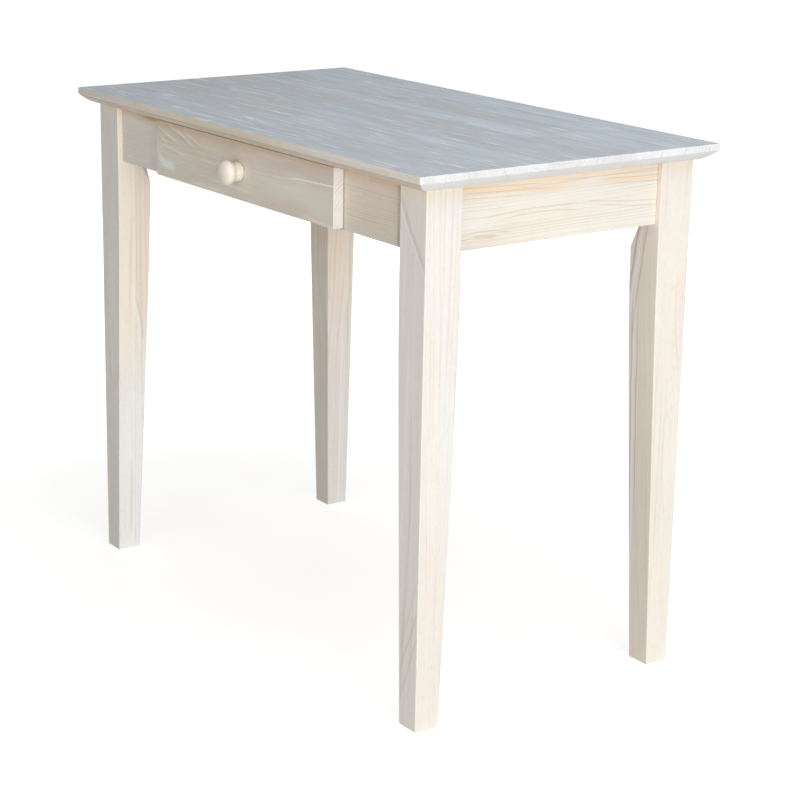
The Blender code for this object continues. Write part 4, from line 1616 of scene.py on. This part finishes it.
@dataclass
class Studio:
    """White floor, soft light and the camera."""

    azimuth: float = 54.8186
    elevation: float = 15.3411
    roll: float = 0.8708
    distance: float = 3.1594
    aim: Pair = (-0.0034, 0.0044)
    focal_pixels: float = 2079.89
    shift: Pair = (0.0375, -0.05)
    look_height: float = 0.381
    floor_radius: float = 40.0
    floor_sides: int = 96
    floor_tone: str = "#D2D2D1"
    floor_bounce: str = "#F0F0EF"
    floor_glow: Pair = (0.68, 0.84)
    glow_reach: Pair = (0.4, 1.8)
    sky: float = 0.28
    sky_tone: Colour = (1.0, 1.0, 1.0)
    softboxes: tuple[Softbox, ...] = (
        Softbox("key_softbox", 950.0, 9.0, 4.0, 14.0, 78.0, 7.5),
        Softbox("fill_softbox", 11.0, 1.2, 1.2, 2.6, 25.0, 12.0),
        Softbox("overhead_softbox", 13.5, 1.4, 1.4, 2.2, 95.0, 64.0),
        Softbox("back_softbox", 18.0, 1.8, 0.5, 3.0, 238.0, 0.0),
    )

    @staticmethod
    def direction(azimuth: float, elevation: float) -> Vector:
        """Unit vector towards a viewpoint, azimuth 0 in front of the drawer and 90 to its right."""
        turn, rise = math.radians(azimuth), math.radians(elevation)
        return Vector((math.sin(turn) * math.cos(rise), -math.cos(turn) * math.cos(rise), math.sin(rise)))

    def camera(self) -> None:
        """Sets the camera at the photograph's viewing angle."""
        back = self.direction(self.azimuth, self.elevation)
        turn = math.radians(self.azimuth)
        level = Vector((math.cos(turn), math.sin(turn), 0.0))
        rise = back.cross(level)
        roll = math.radians(self.roll)
        right = level * math.cos(roll) + rise * math.sin(roll)
        up = rise * math.cos(roll) - level * math.sin(roll)
        centre = UP * self.look_height + right * self.aim[0] + up * self.aim[1] + back * self.distance
        data = bpy.data.cameras.new("photo_camera")
        data.sensor_width = SENSOR_WIDTH
        data.lens = self.focal_pixels / IMAGE_SIDE * SENSOR_WIDTH
        data.shift_x, data.shift_y = self.shift
        obj = bpy.data.objects.new("photo_camera", data)
        obj.matrix_world = Matrix.Translation(centre) @ Matrix((right, up, back)).transposed().to_4x4()
        bpy.context.scene.collection.objects.link(obj)
        bpy.context.scene.camera = obj

    @staticmethod
    def seen_directly(g: Graph) -> Wire:
        """Tells rays that show a surface from rays that gather light.

        Args:
            g: The graph of the floor or the sky.

        Returns:
            1 for rays from the camera, a mirror or glass, 0 for the others.
        """
        seen = g.node("ShaderNodeLightPath", output="Is Camera Ray")
        rays = seen.socket.node.outputs
        for name in ("Is Glossy Ray", "Is Transmission Ray"):
            seen = seen.most(Wire(g, rays[name]))
        return seen

    def floor(self) -> None:
        """Lays the white floor, which still takes the table's shadow."""
        turns = [math.tau * at / self.floor_sides for at in range(self.floor_sides)]
        ring = [polar(self.floor_radius, angle, 0.0) for angle in turns]
        mesh = bpy.data.meshes.new("studio_floor")
        mesh.from_pydata(ring, [], [list(range(self.floor_sides))])
        g = Graph("studio_floor_white")
        seen = self.seen_directly(g)
        tone = g.mix(seen, linear(self.floor_bounce), linear(self.floor_tone))
        matt = g.node("ShaderNodeBsdfDiffuse", None, {"Color": tone})
        away = g.node("ShaderNodeVectorMath", {"operation": "LENGTH"}, {0: g.place()}, "Value")
        near, far = ((level,) * 3 for level in self.floor_glow)
        white = g.mix(g.smooth(away, *self.glow_reach), near, far)
        glow = g.node("ShaderNodeEmission", None, {"Color": white, "Strength": seen})
        both = g.node("ShaderNodeAddShader", None, {0: matt, 1: glow})
        g.node("ShaderNodeOutputMaterial", None, {"Surface": both})
        mesh.materials.append(g.material)
        obj = bpy.data.objects.new("studio_floor", mesh)
        bpy.context.scene.collection.objects.link(obj)

    def light(self) -> None:
        """Sets the soft sky and the softboxes."""
        world = bpy.data.worlds.new("studio_sky")
        bpy.context.scene.world = world
        world.use_nodes = True
        g = Graph("studio_sky", world.node_tree)
        seen = self.seen_directly(g)
        strength = seen * (1.0 - self.sky) + self.sky
        sky = g.node("ShaderNodeBackground", None, {"Color": self.sky_tone, "Strength": strength})
        g.node("ShaderNodeOutputWorld", None, {"Surface": sky})
        for softbox in self.softboxes:
            self.lamp(softbox)

    def lamp(self, softbox: Softbox) -> None:
        """Adds one area lamp.

        Args:
            softbox: Its size, power and place.
        """
        back = self.direction(softbox.azimuth, softbox.elevation)
        data = bpy.data.lights.new(softbox.name, "AREA")
        data.energy = softbox.watts
        data.shape = "RECTANGLE"
        data.size = softbox.width
        data.size_y = softbox.height
        obj = bpy.data.objects.new(softbox.name, data)
        place = Matrix.Translation(UP * self.look_height + back * softbox.distance)
        obj.matrix_world = place @ back.to_track_quat("Z", "Y").to_matrix().to_4x4()
        bpy.context.scene.collection.objects.link(obj)

    def build(self) -> None:
        """Sets up everything round the table."""
        bpy.context.scene.view_settings.view_transform = "Standard"
        self.floor()
        self.light()
        self.camera()
        LOG.info("studio: floor, sky, softboxes and camera")


def streaks(side: Axis, on: Axis, *rows: tuple[Any, ...]) -> tuple[Figure, ...]:
    """Streaks on like faces, each row a start, an end, a width, a colour, a show and, if bent, a bow."""
    return tuple(Figure(side, *row, on=on) for row in rows)


def leg_finishes() -> dict[Corner, Timber]:
    """Chooses the wood of the four legs, each glued up from two strips.

    Returns:
        The wood of each leg by its corner.
    """
    base = Timber(
        grain=Axis.Z,
        light="#FAF5EE",
        deep="#EFE7DC",
        blush_tone="#F3E7DD",
        wave=0.004,
        ring_show=0.28,
        fibre_show=0.8,
        pore_show=0.18,
    )
    strips = Glueup(across=Axis.Y, lines=(0.0,), tone=0.4, line_show=0.3)
    # Painted shade of a whole side: front faces greyer and darker than the key-lit right faces.
    side_shade = Zone(Axis.Z, -1.0, -0.9, "#E6E2DA", 0.7, on=Axis.Y)
    # Painted warm shade at the legs' heads, under the table's top.
    head_warm_shade = Zone(Axis.Z, 0.340, 0.374, "#F2DDBE", 0.5, wobble=0.006)
    return {
        Corner.FRONT_LEFT: replace(
            base,
            seed=11.0,
            wear_highlight_tone="#EBCDB0",
            glue=replace(strips, lines=(0.0014,)),
            zones=(
                # Right face: the front strip and the lower part are painted near white as painted light,
                # where the apron and other legs shade this face; the rear strip is peach; a peach band under
                # the apron is painted warm bounce light.
                Zone(Axis.Y, 0.0019, 0.0009, "#FFF5E4", 0.85, on=Axis.X),
                Zone(Axis.Y, 0.0009, 0.0019, "#F8E9D8", 0.8, on=Axis.X),
                Zone(Axis.Z, 0.06, -0.14, "#FBFDFA", 0.85, on=Axis.X),
                Zone(Axis.Z, 0.270, 0.285, "#FFF0DC", 0.7, on=Axis.X),
                replace(side_shade, colour="#DAD8D1", show=0.8),
                Zone(Axis.X, 0.0051, 0.0061, "#DEE0D9", 0.65, on=Axis.Y),
                head_warm_shade,
            ),
            figures=streaks(
                Axis.Y,
                Axis.X,
                ((0.090, -0.008), (-0.040, 0.010), 0.0060, "#FFFFFF", 0.5, 0.004),
                ((-0.150, -0.012), (-0.260, 0.002), 0.0040, "#FFFFFF", 0.6),
                ((-0.270, 0.004), (-0.390, -0.009), 0.0045, "#FFFFFF", 0.6),
                ((0.070, -0.002), (-0.020, 0.015), 0.0030, "#DCCBB8", 0.4, 0.004),
            ),
        ),
        Corner.FRONT_RIGHT: replace(
            base,
            seed=12.0,
            ring_show=0.3,
            fibre_show=1.3,
            glue=replace(strips, line_show=0.12),
            zones=(
                Zone(Axis.Y, -0.0005, 0.0005, "#F7F4F0", 0.7, on=Axis.X),
                Zone(Axis.Z, 0.05, -0.20, "#F5EADC", 0.5, on=Axis.X),
                side_shade,
                head_warm_shade,
            ),
            figures=streaks(
                Axis.X,
                Axis.Y,
                ((0.372, -0.0370), (0.250, 0.0370), 0.0070, "#CFC4B6", 0.45, -0.002),
                ((0.372, -0.0445), (0.252, 0.0290), 0.0036, "#F6F6F1", 0.55, -0.002),
                ((-0.180, 0.034), (-0.320, -0.020), 0.0040, "#D6C5B5", 0.35),
                ((-0.215, 0.034), (-0.360, -0.018), 0.0040, "#D6C5B5", 0.35),
                ((-0.130, 0.034), (-0.290, -0.020), 0.0040, "#DACCBE", 0.3),
            ),
        ),
        Corner.REAR_RIGHT: replace(
            base,
            seed=13.0,
            ring_show=0.2,
            light="#FCF5EA",
            deep="#F3E9DB",
            glue=replace(strips, across=Axis.X, lines=(-0.0016,)),
            zones=(
                Zone(Axis.X, -0.0021, -0.0011, "#F3E8DB", 0.6, on=Axis.Y),
                Zone(Axis.Z, 0.10, -0.10, "#E9DFD2", 0.6, on=Axis.Y),
                head_warm_shade,
            ),
            figures=streaks(
                Axis.X,
                Axis.Y,
                ((0.340, 0.002), (0.100, -0.038), 0.0034, "#B9AA98", 0.6, -0.003),
                ((0.340, 0.010), (0.100, -0.030), 0.0030, "#F6FAFC", 0.9, -0.003),
                ((0.340, 0.016), (0.080, -0.022), 0.0022, "#BDAD9B", 0.5, -0.003),
                ((0.230, -0.012), (-0.280, -0.009), 0.0034, "#F6FAFC", 0.7, -0.003),
                ((0.220, -0.018), (-0.240, -0.013), 0.0018, "#B9AB9B", 0.55, -0.002),
                ((0.200, -0.006), (-0.200, -0.004), 0.0018, "#BFB0A0", 0.5, -0.002),
            )
            + streaks(
                Axis.Y,
                Axis.X,
                ((0.220, 0.010), (0.060, 0.022), 0.0022, "#EADCCB", 0.45, -0.004),
                ((0.020, 0.000), (-0.160, 0.012), 0.0020, "#EADCCB", 0.45, -0.005),
            ),
        ),
        Corner.REAR_LEFT: replace(
            base,
            seed=14.0,
            glue=strips,
            zones=(
                # Painted shade: the front face greyer, the right face a cream tint, and warm shade deepening
                # towards the top under the table's top.
                replace(side_shade, colour="#DDD6CB", show=0.8),
                Zone(Axis.Z, -0.02, 0.26, "#D8C09C", 0.75, on=Axis.Y),
                replace(side_shade, on=Axis.X, colour="#F6ECE0"),
                Zone(Axis.Z, -0.06, 0.24, "#F8DFC5", 0.7, on=Axis.X),
                Zone(Axis.Z, -0.04, -0.28, "#EEEEED", 0.6, on=Axis.X),
            ),
            figures=streaks(
                Axis.Y,
                Axis.X,
                ((0.340, 0.023), (-0.160, 0.020), 0.0045, "#D5D6CA", 0.55),
                ((0.020, 0.009), (-0.460, 0.013), 0.0032, "#FCFEFF", 0.6),
                ((-0.060, 0.015), (-0.440, 0.019), 0.0026, "#F4F8FC", 0.5),
                ((0.340, -0.004), (0.020, -0.012), 0.0040, "#E8CDB0", 0.35),
            )
            + streaks(
                Axis.X,
                Axis.Y,
                ((0.330, -0.002), (-0.180, -0.008), 0.0040, "#CFD0BC", 0.55),
            ),
        ),
    }


def apron_finishes() -> dict[str, Timber]:
    """Chooses the wood of the four aprons.

    Returns:
        The wood of each apron by its node.
    """
    # Painted warm shade along the top of each apron, where the table's top shades it and warm light bounces
    # under it.
    under_top_shade = Zone(Axis.Z, 0.024, 0.042, "#FADDB4", 0.65, wobble=0.007)
    along_x = Timber(grain=Axis.X, seed=21.0, light="#EEE8DD", deep="#E0D6C6", zones=(under_top_shade,))
    along_y = Timber(grain=Axis.Y, seed=25.0, zones=(under_top_shade,))
    # Light amber streaks near the apron's top: painted warm bounce light under the table's top.
    glow = Figure(Axis.Z, (-0.250, 0.0405), (0.050, 0.0215), 0.0065, "#FCDDB0", 0.48)
    vein = Figure(Axis.Z, (-0.215, 0.0395), (-0.010, 0.0330), 0.0012, "#DDBB94", 0.45)
    arch = Figure(Axis.Z, (-0.150, -0.0060), (0.060, -0.0020), 0.0014, "#D9C6B0", 0.5, 0.0060)
    arches = (
        glow,
        replace(glow, start=(0.050, 0.0280), end=(0.270, 0.0205), width=0.0055),
        replace(glow, start=(-0.160, 0.0415), end=(0.270, 0.0415), width=0.0060),
        vein,
        replace(vein, start=(-0.215, 0.0330), end=(0.010, 0.0255)),
        replace(vein, start=(-0.200, 0.0255), end=(-0.040, 0.0200), show=0.4),
        replace(vein, start=(-0.020, 0.0350), end=(0.215, 0.0330)),
        replace(vein, start=(0.050, 0.0295), end=(0.230, 0.0255)),
        replace(vein, start=(0.070, 0.0225), end=(0.235, 0.0170), colour="#CDB79E"),
        arch,
        replace(arch, start=(-0.120, -0.0120), end=(0.050, -0.0120), bow=0.0085),
        replace(arch, start=(0.030, 0.0050), end=(0.210, -0.0070), bow=-0.0040),
        replace(arch, start=(0.045, -0.0010), end=(0.215, -0.0150), bow=-0.0040),
        replace(arch, start=(-0.195, -0.0340), end=(-0.070, -0.0310), bow=0.0120),
        replace(arch, start=(-0.180, -0.0340), end=(-0.090, -0.0320), bow=0.0070),
        replace(arch, start=(-0.150, -0.0280), end=(-0.105, -0.0290), width=0.0032, bow=0.0),
    )
    return {
        "front_apron": replace(
            along_x,
            ring_show=0.4,
            ring_gap=0.004,
            streak_show=0.12,
            pore_show=0.25,
            zones=(
                Zone(Axis.X, 0.20, 0.30, "#E1D3C3", 0.7),
                Zone(Axis.Z, -0.006, -0.040, "#D5D2C2", 0.45),
                Zone(Axis.X, -0.20, -0.26, "#E1DCD4", 0.75),
                # Painted warm shade under the table's top, browner on the front apron.
                replace(under_top_shade, colour="#DDB988", show=0.7),
                # Painted shadow lines in the gaps beside the drawer front's ends and where the apron meets
                # the front right leg.
                Zone(Axis.X, -0.2690, -0.2640, "#8F8070", 0.5, until=-0.10),
                Zone(Axis.X, 0.2420, 0.2400, "#A08B78", 0.45, until=0.10),
                Zone(Axis.X, 0.3590, 0.3640, "#8F8070", 0.45),
            ),
            # Painted shadow on the top of the left stub, under the table's top.
            figures=(Figure(Axis.Z, (-0.322, 0.0400), (-0.190, 0.0350), 0.0095, "#AE9566", 0.75),),
        ),
        "rear_apron": replace(along_x, seed=22.0),
        "left_apron": replace(along_y, seed=24.0),
        "right_apron": replace(
            along_y,
            light="#FCF6EC",
            deep="#F1E8DA",
            line="#C9AF95",
            pith=(-0.0085, -0.0700),
            lean=(0.05, -0.03),
            ring_gap=0.0046,
            band_show=0.2,
            wave=0.0035,
            wave_length=0.12,
            fibre_show=0.6,
            pore_show=0.12,
            ring_show=0.46,
            ring_fade=(0.15, 0.42),
            # Painted warm shade under the table's top, fainter here.
            zones=(replace(under_top_shade, start=0.018, full=0.043, show=0.3),),
            figures=arches,
        ),
    }


def drawer_finishes() -> dict[str, Timber]:
    """Chooses the wood of the drawer's pieces.

    Returns:
        The wood of each piece by its node, in the order they are made.
    """
    along_x = Timber(grain=Axis.X, seed=31.0)
    along_y = Timber(grain=Axis.Y, seed=35.0)
    strokes = (
        ((-0.243, 0.0347), (-0.177, 0.0130)),
        ((-0.209, 0.0396), (-0.112, 0.0108)),
        ((-0.237, 0.0199), (-0.202, 0.0088)),
        ((-0.224, 0.0241), (-0.170, 0.0142)),
        ((-0.180, 0.0345), (-0.134, 0.0139)),
        ((-0.160, 0.0330), (-0.100, 0.0170)),
        ((-0.228, 0.0080), (-0.150, -0.0040)),
    )
    # Each pale stroke gets a darker copy a little below it, a painted shadow line.
    drop = 0.0042
    cathedral = [Figure(Axis.Z, start, end, 0.0036, "#F5F0E8", 0.36, 0.002) for start, end in strokes]
    for (from_along, from_side), (to_along, to_side) in strokes:
        start, end = (from_along, from_side - drop), (to_along, to_side - drop)
        cathedral.append(Figure(Axis.Z, start, end, 0.0028, "#C2B4A3", 0.28, 0.002))
    return {
        "drawer_front": replace(
            along_x,
            light="#E7DFD3",
            deep="#D6CCBC",
            end_tone="#FAF7F5",
            end_deep="#F2EAE4",
            end_show=0.9,
            end_lines=0.6,
            pith=(0.06, -0.04),
            ring_gap=0.0045,
            ring_show=0.25,
            pore_show=0.2,
            zones=(
                # Painted shadow and warm shade along the top of the front, under the table's top.
                Zone(Axis.Z, 0.014, 0.040, "#CBB499", 0.65, on=Axis.Y, wobble=0.004),
                Zone(Axis.Z, 0.034, 0.043, "#D3A877", 0.4, on=Axis.Y, wobble=0.005),
            ),
            figures=(
                *cathedral,
                Figure(Axis.Z, (-0.240, -0.0110), (-0.178, -0.0260), 0.0110, "#F0F5F4", 0.75),
                Figure(Axis.Z, (-0.060, 0.0200), (0.110, 0.0230), 0.018, "#E0CEC4", 0.5),
                Figure(Axis.Z, (0.040, 0.0270), (0.290, 0.0210), 0.017, "#D6C5BC", 0.6),
                Figure(Axis.Z, (0.040, -0.0120), (0.320, -0.0180), 0.020, "#E4E3D6", 0.5),
                Figure(Axis.Z, (0.010, 0.0050), (0.140, 0.0090), 0.0016, "#F4EEE4", 0.4),
                Figure(Axis.Z, (0.115, 0.0085), (0.262, 0.0158), 0.0017, "#FEFAF2", 0.9, 0.002),
            ),
        ),
        "drawer_knob": TurnedWood(grain=Axis.Y, light="#FAF5E9", deep="#F1E9D8", seed=37.0),
        "drawer_box_front": replace(along_x, seed=32.0),
        "drawer_box_back": replace(along_x, seed=33.0),
        "drawer_side_left": along_y,
        "drawer_side_right": replace(along_y, seed=36.0),
        "drawer_bottom": replace(along_x, seed=38.0, light="#E6D6BE", deep="#D2BB9C"),
        "drawer_stop": replace(along_x, seed=39.0),
    }


def main() -> None:
    """Builds the table's sub-assemblies in order and sets up the studio."""
    logging.basicConfig(level=logging.INFO, format="%(name)s: %(message)s")
    steel = ZincSteel()
    inner = Timber(grain=Axis.Y, light="#EBDFCB", deep="#D8C6AB", seed=41.0)
    Top().build()
    Legs().build(leg_finishes())
    Aprons().build(apron_finishes())
    CornerJoints().build(replace(inner, grain=Axis.X, seed=45.0), steel)
    Guides().build(inner)
    Drawer().build(drawer_finishes(), steel)
    Studio().build()


if __name__ == "__main__":
    main()
